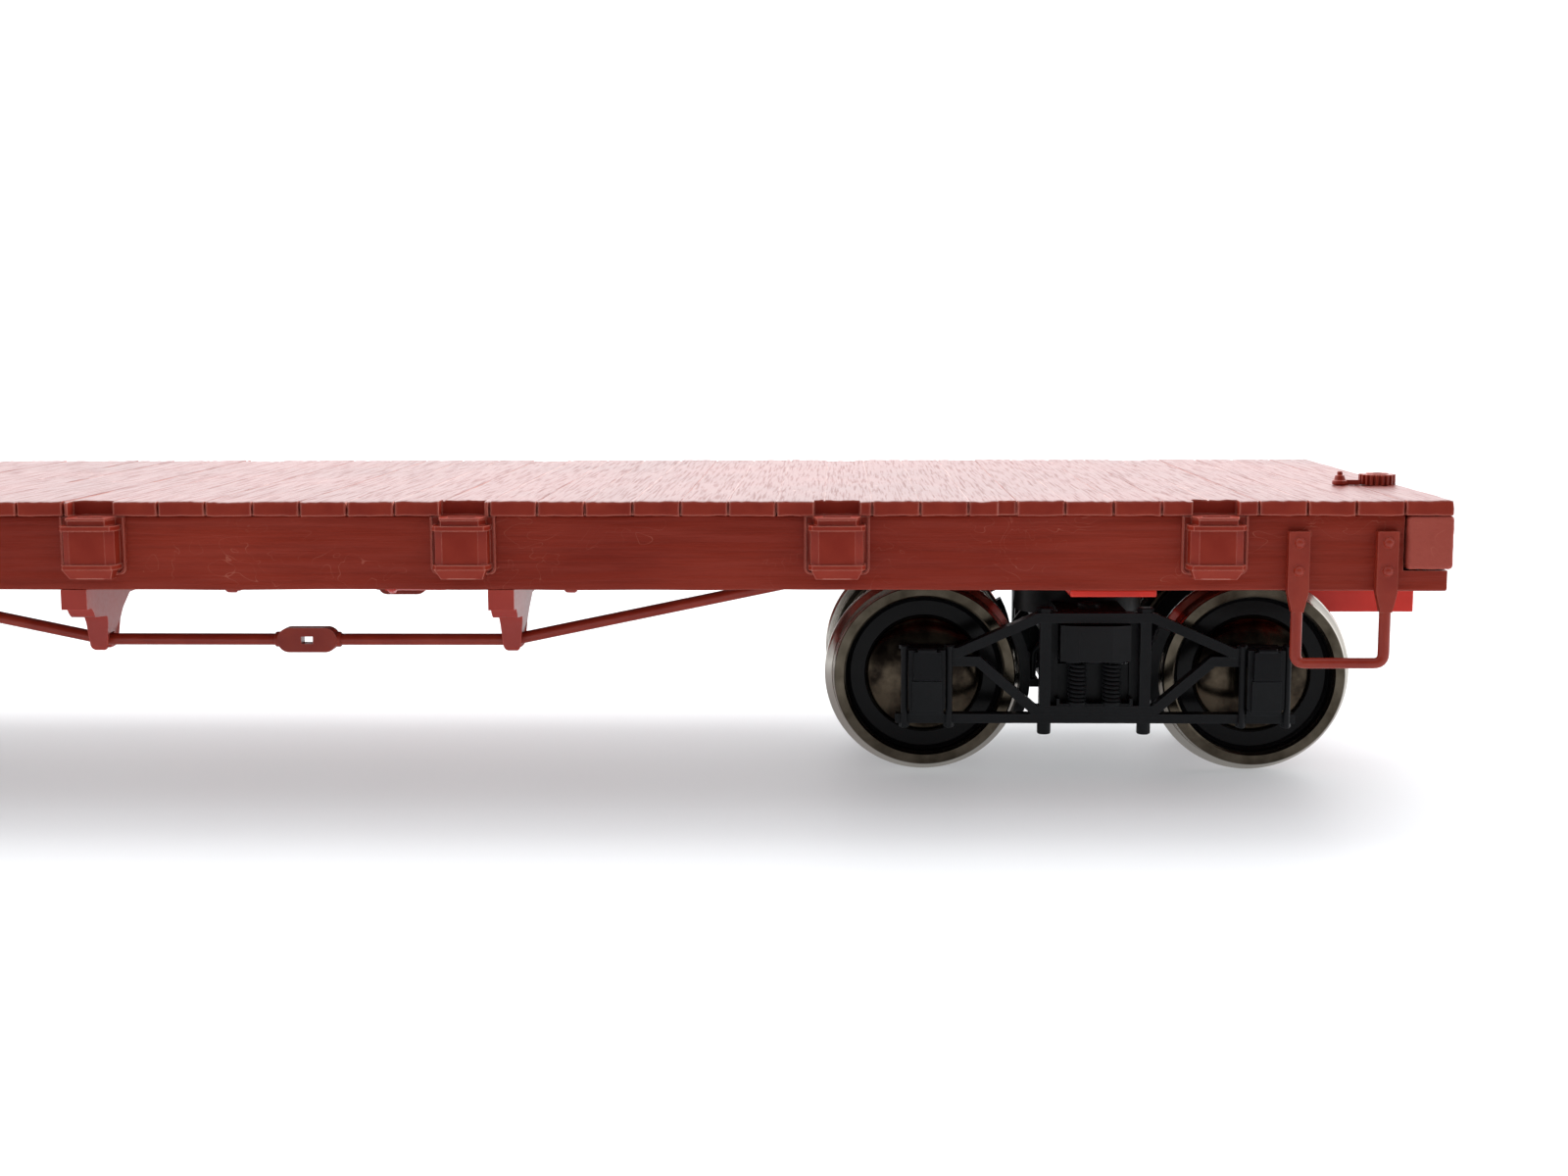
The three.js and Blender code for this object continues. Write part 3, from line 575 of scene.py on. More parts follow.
def grained_board(low, high, axis, corner, end_round, relief, face_steps, step, seed):
    """A timber with rounded edges that runs along one axis, its skin raised by wood grain."""
    centre = [(a + b) / 2 for a, b in zip(low, high)]
    size = [b - a for a, b in zip(low, high)]
    across = [k for k in (X, Y, Z) if k != axis]
    ring = rounded_ring(size[across[0]], size[across[1]], corner, face_steps)
    length = size[axis]
    count = max(2, round((length - 2 * end_round) / step))
    stations = [(0.0, end_round), (end_round * 0.13, end_round * 0.5), (end_round * 0.5, end_round * 0.13)]
    stations += [(end_round + (length - 2 * end_round) * k / count, 0.0) for k in range(count + 1)]
    stations += [(length - place, inset) for place, inset in reversed(stations[:3])]
    rings = []
    for place, inset in stations:
        row = []
        shrink = [1 - 2 * inset / size[k] for k in across]
        for point, way in ring:
            at = Vector(along(axis, (point.x * shrink[0], point.y * shrink[1]), place))
            sample = Vector(along(axis, (point.x * 2.2, point.y * 2.2), place * 0.16))
            sample += Vector((seed * 7.3, seed * 3.1, seed * 5.7))
            grain = 0.6 * noise.noise(sample) + 0.4 * noise.noise(sample * 0.35)
            shift = way * grain * relief
            at += Vector(along(axis, (shift.x, shift.y), low[axis]))
            for k in across:
                at[k] += centre[k]
            row.append(at)
        rings.append(row)
    return lofted(rings)


# ---- Pieces --------------------------------------------------------------------------------

def scratch_object(form):
    item = bpy.data.objects.new("scratch", form.mesh("scratch"))
    bpy.context.scene.collection.objects.link(item)
    return item


def fused(name, forms, cuts=(), flat=True):
    """One mesh, in metres: the forms joined to the first of them, less the cuts."""
    base = scratch_object(forms[0])
    used = [base]
    for operation, group in (("UNION", forms[1:]), ("DIFFERENCE", cuts)):
        for form in group:
            used.append(scratch_object(form))
            modifier = base.modifiers.new(operation.lower(), "BOOLEAN")
            modifier.operation = operation
            modifier.solver = "MANIFOLD"
            modifier.object = used[-1]
    graph = bpy.context.evaluated_depsgraph_get()
    mesh = bpy.data.meshes.new_from_object(base.evaluated_get(graph))
    mesh.name = name
    for item in used:
        data = item.data
        bpy.data.objects.remove(item)
        bpy.data.meshes.remove(data)
    shape = bmesh.new()
    shape.from_mesh(mesh)
    bmesh.ops.remove_doubles(shape, verts=shape.verts, dist=0.004)
    if flat:
        bmesh.ops.dissolve_limit(shape, angle_limit=math.radians(1.0), verts=shape.verts, edges=shape.edges)
    shape.to_mesh(mesh)
    shape.free()
    mesh.transform(Matrix.Scale(MM, 4))
    return mesh


def metre_mesh(name, form):
    """A finished mesh, in metres, of one form."""
    mesh = form.mesh(name)
    mesh.transform(Matrix.Scale(MM, 4))
    return mesh


def pair(mesh, axis):
    """The mesh for the left or the front place, with a mirrored copy for the right or the rear one."""
    scale = [1.0, 1.0, 1.0, 1.0]
    scale[axis] = -1.0
    copy = mesh.copy()
    copy.transform(Matrix.Diagonal(scale))
    copy.flip_normals()
    return dict(zip(SIDES if axis == Y else ENDS, (mesh, copy)))


def add_piece(name, mesh, slot, body, node=None, finish=None, bevel=0.0, place=(0, 0, 0), sharp=35):
    """A new piece, which may stand for a CAD node, with its own origin at place, above the rail top."""
    mesh.materials.clear()
    mesh.materials.append(MATERIALS[finish or slot])
    mesh.shade_smooth()
    mesh.set_sharp_from_angle(angle=math.radians(sharp))
    piece = bpy.data.objects.new(name, mesh)
    piece.location = Vector((place[X], place[Y], place[Z] + RAIL_TOP)) * MM
    bpy.context.scene.collection.objects.link(piece)
    if bevel > 0:
        soften_edges(piece, bevel)
    flatten_shading(piece)
    if node:
        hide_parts(node)
    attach(piece, body)
    return piece


def add_red(name, mesh, node, finish="forging", **options):
    """A red piece of the car's fixed body."""
    add_piece(name, mesh, "body_red", "car_body", node, finish, **options)


def soften_edges(piece, width):
    modifier = piece.modifiers.new("soft_edges", "BEVEL")
    modifier.width = width * MM
    modifier.segments = 2
    modifier.limit_method = "ANGLE"
    modifier.angle_limit = math.radians(38)


def flatten_shading(piece):
    """Lets the large flat faces set the shading, so that only the softened edges look round."""
    modifier = piece.modifiers.new("flat_faces", "WEIGHTED_NORMAL")
    modifier.keep_sharp = True


def dress_cad_node(name, finish):
    """Gives a CAD node that stays in view its material and softened edges."""
    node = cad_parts[name]
    node.data.materials.clear()
    node.data.materials.append(MATERIALS[finish])
    weld = node.modifiers.new("weld", "WELD")
    weld.merge_threshold = 0.002 * MM
    soften_edges(node, 0.12)
    flatten_shading(node)


# ---- Deck ----------------------------------------------------------------------------------

PLANKS = 49
PLANK_GAP = 0.05
PLANK_SINK = 0.04        # how far, on average, a plank lies inside the board's top and ends
PLANK_CORNER = 0.15      # rounding along a plank, and at its ends
PLANK_END = 0.14
PLANK_RELIEF = 0.10
SHEET_DROP = 0.12        # the moulded sheet that joins the planks lies this far below their tops
SHEET_BACK = 0.6         # and stops this far inside their ends
GROOVE = ((0.2, -1.0), (0.2, 0.0), (0.13, 0.03), (0.1, 0.1), (0.09, 0.6))   # half width, depth from the ends
NOTCH_WIDTH = 3.75
NOTCH_DEPTH = 1.3
CHIP_X, CHIP_HALF, CHIP_DEPTH = 59.5, 0.75, 0.5      # a short plank end
TOP_SLOPE = 0.35         # faces that look up less than this belong to the plank ends


def pocket_places():
    """The middle of each stake pocket along the car."""
    return [middle_mm(f"stake_pocket_left_{number}")[X] for number in range(1, 7)]


def plank(number, low, high, pitch):
    """One plank, a little uneven in height and length."""
    left = low[X] + number * pitch + PLANK_GAP / 2
    top = high[Z] - PLANK_SINK + PLANK_SINK / 2 * math.sin(number * 2.4)
    sink = PLANK_SINK * (1 - math.sin(number * 5.1))
    return grained_board((left, low[Y] + sink, low[Z]), (left + pitch - PLANK_GAP, high[Y] - sink, top), Y,
                         corner=PLANK_CORNER, end_round=PLANK_END, relief=PLANK_RELIEF,
                         face_steps=(0.16, 0.5, 0.6, 0.5), step=0.9, seed=number)


def groove(x, low, high):
    """What is cut from the two ends of a joint between planks."""
    half = [(x + width, low[Y] + depth) for width, depth in GROOVE]
    outline = half + [(2 * x - a, b) for a, b in reversed(half)]
    return prism(outline, low[Z] - 1, high[Z] + 1, Z).twice(Y)


def make_deck():
    """Planks joined by a thin sheet, notched for the stake pockets; their ends have their own paint."""
    low, high = box_mm("deck")
    pitch = (high[X] - low[X]) / PLANKS
    planks = all_of([plank(number, low, high, pitch) for number in range(PLANKS)])
    grooves = all_of([groove(low[X] + number * pitch, low, high) for number in range(1, PLANKS)])
    sheet = block(low[X] + SHEET_BACK, high[X] - SHEET_BACK, low[Y] + SHEET_BACK, high[Y] - SHEET_BACK,
                  low[Z] + 0.03, high[Z] - SHEET_DROP)
    notches = all_of([block(x - NOTCH_WIDTH / 2, x + NOTCH_WIDTH / 2, high[Y] - NOTCH_DEPTH, high[Y] + 1,
                            low[Z] - 1, high[Z] + 1).twice(Y) for x in pocket_places()])
    chip = block(CHIP_X - CHIP_HALF, CHIP_X + CHIP_HALF, low[Y] - 1, low[Y] + CHIP_DEPTH,
                 low[Z] - 1, high[Z] + 1)
    mesh = fused("deck_planking", [planks, sheet], [grooves, notches, chip], flat=False)
    add_piece("deck_planking", mesh, "deck_red", "car_body", "deck", sharp=50)
    mesh.materials.append(MATERIALS["plank_end"])
    for face in mesh.polygons:
        face.material_index = 0 if face.normal.z > TOP_SLOPE else 1


# ---- Sills and end beams -------------------------------------------------------------------

def make_side_sills():
    """Long timbers, rebated at each end for the end beams."""
    low, high = box_mm("side_sill_left")
    beam_low, beam_high = box_mm("end_beam_front")
    fit = 0.16
    board = grained_board(low, high, X, corner=0.16, end_round=0.16, relief=0.12,
                          face_steps=(0.3, 0.3, 0.6, 0.3), step=0.8, seed=61)
    rebate = block(beam_low[X] - fit, beam_high[X] + 2, low[Y] - 1, high[Y] + 1,
                   beam_low[Z] - fit, high[Z] + 1)
    mesh = fused("side_timber", [board], [rebate.twice(X)], flat=False)
    for side, timber in pair(mesh, Y).items():
        add_red(f"side_timber_{side}", timber, f"side_sill_{side}", "body_red", sharp=50)


def make_end_beams():
    """Cross timbers with well rounded edges, one at each end, that reach up into the planks' joint."""
    low, high = box_mm("end_beam_front")
    high[Z] += 0.27
    board = grained_board(low, high, Y, corner=0.3, end_round=0.3, relief=0.06,
                          face_steps=(0.3, 0.3, 0.3, 0.3), step=0.7, seed=83)
    for end, timber in pair(fused("end_timber", [board], flat=False), X).items():
        add_red(f"end_timber_{end}", timber, f"end_beam_{end}", "beam_paint", sharp=60)


# ---- Stake pockets -------------------------------------------------------------------------

def frustum(top, bottom, z_top, z_bottom):
    """A block between two rectangles; each is its half width and its two places on Y."""
    rings = []
    for (half, near, far), z in ((bottom, z_bottom), (top, z_top)):
        rings.append([(-half, near, z), (half, near, z), (half, far, z), (-half, far, z)])
    return lofted(rings)


def pocket_mesh():
    """A cast socket on its backing plate, round x = 0, on the left side of the car."""
    low, high = box_mm("stake_pocket_left_1")
    back, front, top, bottom = low[Y], high[Y], high[Z], low[Z]
    plate_half, plate_drop, plate_round = 2.66, 4.75, 0.55
    rib, rim, neck, foot_tall, edge = 0.4, 0.18, 0.64, 0.88, 0.16
    rib_top = top - neck
    lower_rib = bottom + foot_tall
    body_front = front - 0.22
    corner = arc((plate_half - plate_round, top - plate_drop + plate_round), plate_round, 0, -90, 6)
    outline = [(plate_half, top), *corner]
    plate = prism(both_halves(outline), back, back + 0.2, Y)
    inset = edge / 2
    line = [(x - inset, z + inset * (1 if z < top - 1 else 0)) for x, z in outline]
    edging = prism(strip_outline(both_halves(line), edge), back + 0.1, back + 0.36, Y)
    slope = [(1.95, back), (1.55, body_front)]
    collar = prism(both_halves(slope), rib_top - 0.05, top - rim * 0.5, Z)
    spread = 1.03
    brim_slope = [(1.95 * spread, back), (1.55 * spread, front - 0.04)]
    brim = prism(both_halves(brim_slope), top - rim, top, Z)
    rib_slope = both_halves([(2.3, back), (2.3, front - 0.5), (2.0, front)])
    ribs = all_of([prism(rib_slope, z, z + rib, Z) for z in (rib_top - rib, lower_rib)])
    panel_slope = both_halves([(2.2, back), (2.12, body_front - 0.5), (1.47, body_front)])
    panel = prism(panel_slope, lower_rib + 0.1, rib_top - 0.1, Z)
    foot = frustum((2.1, back, front - 0.02), (1.7, back, back + 1.2), lower_rib + 0.05, bottom + 0.06)
    socket = block(-1.15, 1.15, back + 0.35, back + 1.2, bottom - 1, top + 1)
    return fused("stake_pocket", [plate, edging, collar, brim, ribs, panel, foot], [socket])


def make_stake_pockets():
    meshes = pair(pocket_mesh(), Y)
    for number, x in enumerate(pocket_places(), start=1):
        for side in SIDES:
            add_red(f"pocket_{side}_{number}", meshes[side], f"stake_pocket_{side}_{number}", "casting",
                    bevel=0.09, place=(x, 0, 0))


# ---- Stirrup steps -------------------------------------------------------------------------

def rivet(radius, centre):
    """A domed rivet head on a face that looks along Y."""
    dome = [(radius * math.cos(math.radians(a)), radius * 0.85 * math.sin(math.radians(a)))
            for a in range(0, 90, 15)]
    return turned([(0, -0.1), (radius, -0.1), *dome, (0, radius * 0.85)], centre, Y, 24)


def step_mesh():
    """Two riveted straps that narrow to flattened bars and join in a tread."""
    low, high = box_mm("step_left_front")
    sill_bottom = box_mm("side_sill_left")[0][Z]
    strap, slim, tread_half, thick = 0.85, 0.475, 0.44, high[Y] - low[Y] - 0.34
    legs = (low[X] + strap, high[X] - strap)
    face, front = low[Y], low[Y] + thick
    middle = (face + front) / 2
    neck_top, neck_bottom = sill_bottom - 0.1, sill_bottom - 1.7
    forms = []
    for x in legs:
        outline = [(x - strap, high[Z]), (x - strap, neck_top), (x - slim, neck_bottom),
                   (x + slim, neck_bottom), (x + strap, neck_top), (x + strap, high[Z])]
        forms.append(prism(outline, face, front, Y))
    tread, bar_top = low[Z] + 0.43, neck_bottom + 0.5
    route = [(legs[0], middle, bar_top), (legs[0], middle, tread),
             (legs[1], middle, tread), (legs[1], middle, bar_top)]
    forms.append(tube(eased(route, 0.8), 1.0, sides=20, squeeze=(slim, thick / 2, tread_half)))
    rivets = [rivet(0.45, (x, front, high[Z] - drop)) for x in legs for drop in (0.9, 3.2)]
    return fused("step", [*forms, all_of(rivets)])


def make_steps():
    for side, sided in pair(step_mesh(), Y).items():
        for end, mesh in pair(sided, X).items():
            add_red(f"stirrup_{side}_{end}", mesh, f"step_{side}_{end}", bevel=0.12)


# ---- Needle beams, truss rods and turnbuckles ----------------------------------------------

ROD = 0.5                # radius of a truss rod


def needle_beam_mesh(node):
    """A cross-beam whose ends step in to forked queen posts that taper downwards."""
    low, high = box_mm(node)
    middle, half = middle_mm(node)[X], (high[X] - low[X]) / 2
    rod_y = middle_mm("truss_rod_left_front")[Y]
    rod_z = box_mm("truss_rod_left_front")[0][Z] + ROD
    beam_lower, corbel, foot, toe, taper = 16.2, 15.3, 0.6, 0.5, 0.34
    post_in, post_out = rod_y - 1.4, rod_y + 1.4
    outline = [(0.0, high[Z]), (high[Y], high[Z]), (high[Y], beam_lower)]
    outline += [(high[Y] - 0.9 - 1.1 * s, beam_lower - (beam_lower - corbel) * (3 * s * s - 2 * s ** 3))
                for s in (0.0, 0.25, 0.5, 0.75, 1.0)]
    outline += [(post_out + 0.35, corbel - 0.25), (post_out + 0.05, corbel - 0.9),
                (post_out - 0.1, low[Z] + toe)]
    outline += arc((post_out - 0.1 - toe, low[Z] + toe), toe, 0, -90, 4)
    outline += arc((post_in + 0.1 + toe, low[Z] + toe), toe, 270, 180, 4)
    outline += [(post_in - 0.05, corbel - 0.9), (post_in - 0.6, corbel), (post_in - 2.2, beam_lower + 0.2),
                (0.0, beam_lower + 0.3)]
    beam = prism(outline, middle - half, middle + half, X)
    taper_top = corbel + 0.4
    for point in beam.points:
        share = min(max((taper_top - point.z) / (taper_top - low[Z]), 0.0), 1.0)
        tuck = min(max((low[Z] + foot - point.z) / foot, 0.0), 1.0)
        width = (1.0 - taper * share) * (1.0 - foot * (1.0 - math.sqrt(1.0 - tuck * tuck)))
        point.x = middle + (point.x - middle) * width
    reach = ROD + 0.1
    fork = block(middle - 2, middle + 2, rod_y - reach, rod_y + reach, low[Z] - 1, rod_z + reach)
    return fused("needle_beam", [beam.twice(Y)], [fork.twice(Y)])


def make_needle_beams():
    for end in ENDS:
        node = f"needle_beam_{end}"
        add_piece(f"queen_beam_{end}", needle_beam_mesh(node), "moulded_red", "car_body", node,
                  "queen_red", bevel=0.1)


def turnbuckle_mesh(node):
    """A flat link with rounded corners and a square slot, on a short neck at each end."""
    low, high = box_mm(node)
    x, y, z = middle_mm(node)
    half, tall, deep = (high[X] - low[X]) / 2 - 0.05, (high[Z] - low[Z]) / 2, (high[Y] - low[Y]) / 2
    shoulder = 1.0
    upper = both_halves(arc((half - shoulder, tall - shoulder), shoulder, 5, 90, 10))
    outline = upper + [(-a, -b) for a, b in upper]
    link = prism([(x + a, z + b) for a, b in outline], y - deep * 0.8, y + deep * 0.8, Y)
    slot = block(x - 0.5, x + 0.5, y - 2, y + 2, z - 0.31, z + 0.31)
    recess = block(x - 1.3, x + 1.3, y + deep * 0.68, y + 2, z - 0.5, z + 0.5)
    necks = all_of([cylinder(0.66, end - 0.3, end + 0.3, (0, y, z), X, 0.15, 24)
                    for end in (x - half, x + half)])
    return fused("turnbuckle", [link, necks], [slot, recess])


def make_truss_rods():
    """Round rods, level under the queen posts, that rise to the body bolsters."""
    for side in SIDES:
        y = middle_mm(f"truss_rod_{side}_front")[Y]
        z = box_mm(f"truss_rod_{side}_front")[0][Z] + ROD
        for end, way in ENDS.items():
            node = f"truss_rod_{side}_{end}"
            low, high = box_mm(node)
            near, far = (low[X], high[X]) if way > 0 else (high[X], low[X])
            post_x = middle_mm(f"needle_beam_{end}")[X]
            route = [(near - way * 0.4, y, z), (post_x, y, z), (far - way * ROD * 0.2, y, high[Z] - ROD)]
            add_red(f"rod_{side}_{end}", fused("truss_rod", [tube(eased(route, 1.1), ROD, sides=24)]), node)
        node = f"turnbuckle_{side}"
        add_red(f"link_{side}", turnbuckle_mesh(node), node, bevel=0.12)


# ---- Hand-brake ratchet and pawl -----------------------------------------------------------

def make_ratchet():
    """A toothed wheel round a raised hub, with the hole for the brake staff."""
    low, high = box_mm("brake_ratchet")
    radius = (high[X] - low[X]) / 2
    x, y, _ = middle_mm("brake_ratchet")
    teeth, tooth = 20, 0.24
    outline = []
    for k in range(teeth):
        for share, r in ((0.0, radius), (0.4, radius), (0.55, radius - tooth), (0.85, radius - tooth)):
            angle = 2 * math.pi * (k + share) / teeth
            outline.append((x + r * math.cos(angle), y + r * math.sin(angle)))
    wheel = prism(outline, low[Z] - 0.03, high[Z] - 0.12, Z)
    hub = cylinder(radius * 0.62, low[Z], high[Z], (x, y, 0), Z, rounding=0.1)
    staff_hole = cylinder(0.42, low[Z] + 0.3, high[Z] + 1, (x, y, 0), Z)
    add_red("ratchet_wheel", fused("ratchet_wheel", [wheel, hub], [staff_hole]), "brake_ratchet", bevel=0.04)


def make_pawl():
    """A knob on a cone, with an arm that reaches to the ratchet's teeth."""
    low, high = box_mm("brake_pawl")
    radius = (high[Y] - low[Y]) / 2
    centre = x, y, _ = low[X] + radius, middle_mm("brake_pawl")[Y], 0
    base = cylinder(radius, low[Z] - 0.03, low[Z] + 0.4, centre, Z, rounding=0.12)
    slope = [(radius * 0.85, low[Z] + 0.2), (radius * 0.62, low[Z] + 0.8)]
    cone = turned([(0, low[Z]), *slope, (0, low[Z] + 0.95)], centre, Z, 24)
    knob = cylinder(0.24, low[Z] + 0.6, high[Z], centre, Z, rounding=0.12, segments=20)
    arm = block(x, high[X], y - 0.24, y + 0.24, low[Z] - 0.03, low[Z] + 0.42)
    add_red("pawl", fused("pawl", [base, cone, knob, arm]), "brake_pawl", bevel=0.04)


# ---- Trucks --------------------------------------------------------------------------------

OUTER_X, _, AXLE_Z = middle_mm("front_outer_axle")
INNER_X = middle_mm("front_inner_axle")[X]
TRUCK_X, HALF_BASE = (OUTER_X + INNER_X) / 2, (OUTER_X - INNER_X) / 2
FRAME_IN, FRAME_OUT = 12.9, 14.3       # the bars of a side frame, from the middle of the car
FRAME_MIDDLE = (FRAME_IN + FRAME_OUT) / 2
TIE_BOTTOM, TIE_TOP = 4.75, 5.55
COLUMN = 4.35
BOLT = 0.6
BOX_IN, BOX_OUT = 11.6, 15.3
BOX_BOTTOM, BOX_TOP = 5.7, 11.3
SPRING_BOTTOM, SPRING_TOP = 6.55, 10.05
SPRING_X = 1.5
BOLSTER_TOP = 13.4


def journal_box():
    """A cast box at the end of an axle, with a hinged lid; its forms, round x = 0."""
    body = prism(both_halves([(1.2, BOX_BOTTOM), (1.6, BOX_BOTTOM + 0.5), (1.6, BOX_TOP)]),
                 BOX_IN, BOX_OUT - 0.35, Y)
    face = frustum((1.25, BOX_OUT - 0.5, BOX_OUT), (1.25, BOX_OUT - 0.5, BOX_OUT - 0.05),
                   8.6, BOX_BOTTOM + 0.25)
    lid = frustum((1.12, BOX_OUT - 0.3, BOX_OUT + 0.22), (1.18, BOX_OUT - 0.3, BOX_OUT + 0.42),
                  BOX_TOP - 0.1, 8.75)
    hinge = cylinder(0.26, -0.8, 0.8, (0, BOX_OUT + 0.02, BOX_TOP + 0.02), X, rounding=0.08, segments=16)
    return [body, face, lid, hinge]


def side_frame_mesh():
    """An archbar side frame, round the middle of its truck, on the left side."""
    bar = 0.85
    top_arch = strip_outline(both_halves([(16.9, 10.97), (11.9, 10.97), (5.0, 14.03)]), bar)
    low_arch = strip_outline(both_halves([(16.0, 10.2), (10.2, 10.2), (5.2, 5.85)]), bar)
    tie = block(-17.4, 17.4, FRAME_IN + 0.03, FRAME_OUT - 0.03, TIE_BOTTOM, TIE_TOP)
    columns = block(COLUMN - 0.47, COLUMN + 0.47, FRAME_IN + 0.1, FRAME_OUT - 0.1, TIE_BOTTOM + 0.1, 14.1)
    bolt_at = (COLUMN, FRAME_MIDDLE, 0)
    bolts = cylinder(BOLT, 3.7, TIE_TOP - 0.2, bolt_at, Z, rounding=0.16, segments=24)
    forms = [prism(top_arch, FRAME_IN, FRAME_OUT, Y), prism(low_arch, FRAME_IN + 0.06, FRAME_OUT - 0.06, Y),
             tie, columns.twice(X), bolts.twice(X), hexagon(0.72, 14.3, 14.9, bolt_at, Z).twice(X)]
    forms += [form.moved(HALF_BASE).add(form.moved(-HALF_BASE)) for form in journal_box()]
    shanks, nuts, feet = [], [], []
    for x in (HALF_BASE - 1.95, HALF_BASE + 1.95):
        nut_at = (x, FRAME_OUT - 0.2, 0)
        shank_at = (x, FRAME_OUT + 0.1, 0)
        shanks.append(cylinder(0.3, TIE_BOTTOM - 0.35, BOX_TOP + 0.35, shank_at, Z, 0.1, 16).twice(X))
        nuts.append(hexagon(0.46, BOX_TOP + 0.05, BOX_TOP + 0.4, nut_at, Z).twice(X))
        feet.append(hexagon(0.46, -TIE_BOTTOM - 0.1, -TIE_BOTTOM + 0.35, nut_at, Z).flipped(Z).twice(X))
    pedestals = block(HALF_BASE - 1.5, HALF_BASE + 1.5, FRAME_IN, FRAME_OUT, TIE_TOP - 0.1, BOX_BOTTOM + 0.2)
    forms += [all_of(shanks), all_of(nuts), all_of(feet), pedestals.twice(X)]
    bore = cylinder(1.0, BOX_IN - 1, BOX_OUT - 1.2, (HALF_BASE, 0, AXLE_Z), Y)
    return fused("side_frame", forms, [bore.twice(X)])


def spring_mesh():
    """Two coil springs between the spring plank and the bolster, on the left side."""
    wire, radius, turns, steps = 0.16, 0.68, 8.5, 14
    count = int(turns * steps)
    climb = (SPRING_TOP - SPRING_BOTTOM - 2 * wire) / count
    springs = []
    for x in (-SPRING_X, SPRING_X):
        line = []
        for k in range(count + 1):
            angle = 2 * math.pi * k / steps
            line.append((x + radius * math.cos(angle), FRAME_MIDDLE + radius * math.sin(angle),
                         SPRING_BOTTOM + wire + climb * k))
        springs.append(tube(line, wire, sides=8))
    return metre_mesh("springs", all_of(springs))


def spring_seat_mesh():
    """The spring plank that ties the side frames together, with its web, guides and spring seats."""
    floor, plate_top, lip = 6.2, 6.45, 6.9
    channel = [(3.05, plate_top), (3.05, lip), (3.3, lip), (3.3, floor)]
    plank = prism(both_halves(channel), -FRAME_OUT + 0.15, FRAME_OUT - 0.15, Y)
    seat = floor + 0.1
    spring_at = (SPRING_X, FRAME_MIDDLE, 0)
    cups = cylinder(0.92, seat, 6.62, spring_at, Z, rounding=0.06, segments=28).twice(X).twice(Y)
    cores = cylinder(0.36, seat, SPRING_TOP - 0.5, spring_at, Z, segments=20).twice(X).twice(Y)
    web = block(-3.2, 3.2, FRAME_IN - 0.95, FRAME_IN - 0.35, seat, SPRING_TOP - 0.3).twice(Y)
    guides = block(3.12, COLUMN + 0.3, FRAME_IN - 0.9, FRAME_IN - 0.06, 5.6, 14.0).twice(X).twice(Y)
    return fused("spring_plank", [plank, web, cups, cores, guides])


def truck_bolster_mesh():
    """The cross bolster, with faceted ends over the springs and a round centre bearing."""
    low, high = box_mm("truck_front_bolster")
    end, bottom = high[Y], low[Z]
    half = 3.05
    facets = [(-half, 11.5), (half, 11.5), (half, end - 0.55), (1.35, end), (-1.35, end), (-half, end - 0.55)]
    ends = prism(facets, bottom + 0.2, BOLSTER_TOP, Z)
    lobes = all_of([cylinder(0.82, bottom, bottom + 0.5, (u, end - 1.35, 0), Z, rounding=0.1)
                    for u in (-1.9, 0.0, 1.9)])
    ridges = all_of([block(u - 0.09, u + 0.09, 12.0, end - 0.02, bottom + 0.25, BOLSTER_TOP - 0.1)
                     for u in (-1.38, 1.38)])
    beam = block(-3.0, 3.0, -12, 12, bottom + 0.3, BOLSTER_TOP)
    saddle = prism([(-3.75, 11.3), (3.75, 11.3), (3.0, BOLSTER_TOP + 0.9), (-3.0, BOLSTER_TOP + 0.9)],
                   -11.3, 11.3, Y)
    bearing = turned([(0, 13), (5.9, 13), (5.9, high[Z] - 0.35), (5.6, high[Z]), (3.2, high[Z]),
                      (3.0, high[Z] - 0.25), (0, high[Z] - 0.25)], (0, 0, 0), Z, 72)
    side_bearings = [cylinder(1.0, 14, 14.75, (0, side * 9.2, 0), Z, rounding=0.12) for side in (-1, 1)]
    pin_hole = cylinder(1.4, bottom - 1, high[Z] + 1, (0, 0, 0), Z)
    recess = cylinder(2.6, bottom - 1, 12.1, (0, 0, 0), Z)
    forms = [beam, ends.twice(Y), lobes.twice(Y), ridges.twice(Y), saddle, bearing, all_of(side_bearings)]
    return fused("bolster", forms, [pin_hole, recess])


def brake_gear_mesh():
    """Brake shoes against the inner sides of a wheelset, on a beam with a strut and two hangers."""
    axle = (HALF_BASE, AXLE_Z)
    outline = arc(axle, TREAD_RADIUS + 0.32, 152, 205, 10) + arc(axle, TREAD_RADIUS + 1.25, 205, 152, 10)
    shoes = prism(outline, 8.75, 10.1, Y).twice(Y)
    beam = block(4.5, 5.25, -10.0, 10.0, 7.2, 7.9)
    strut = block(3.0, 4.9, -0.5, 0.5, 7.3, 7.8)
    hangers = tube([(5.0, 9.4, 7.5), (4.9, 9.4, 10.2), (3.4, 9.4, 12.2)], 0.3, sides=12).twice(Y)
    return fused("brake_gear", [beam, shoes, strut, hangers])


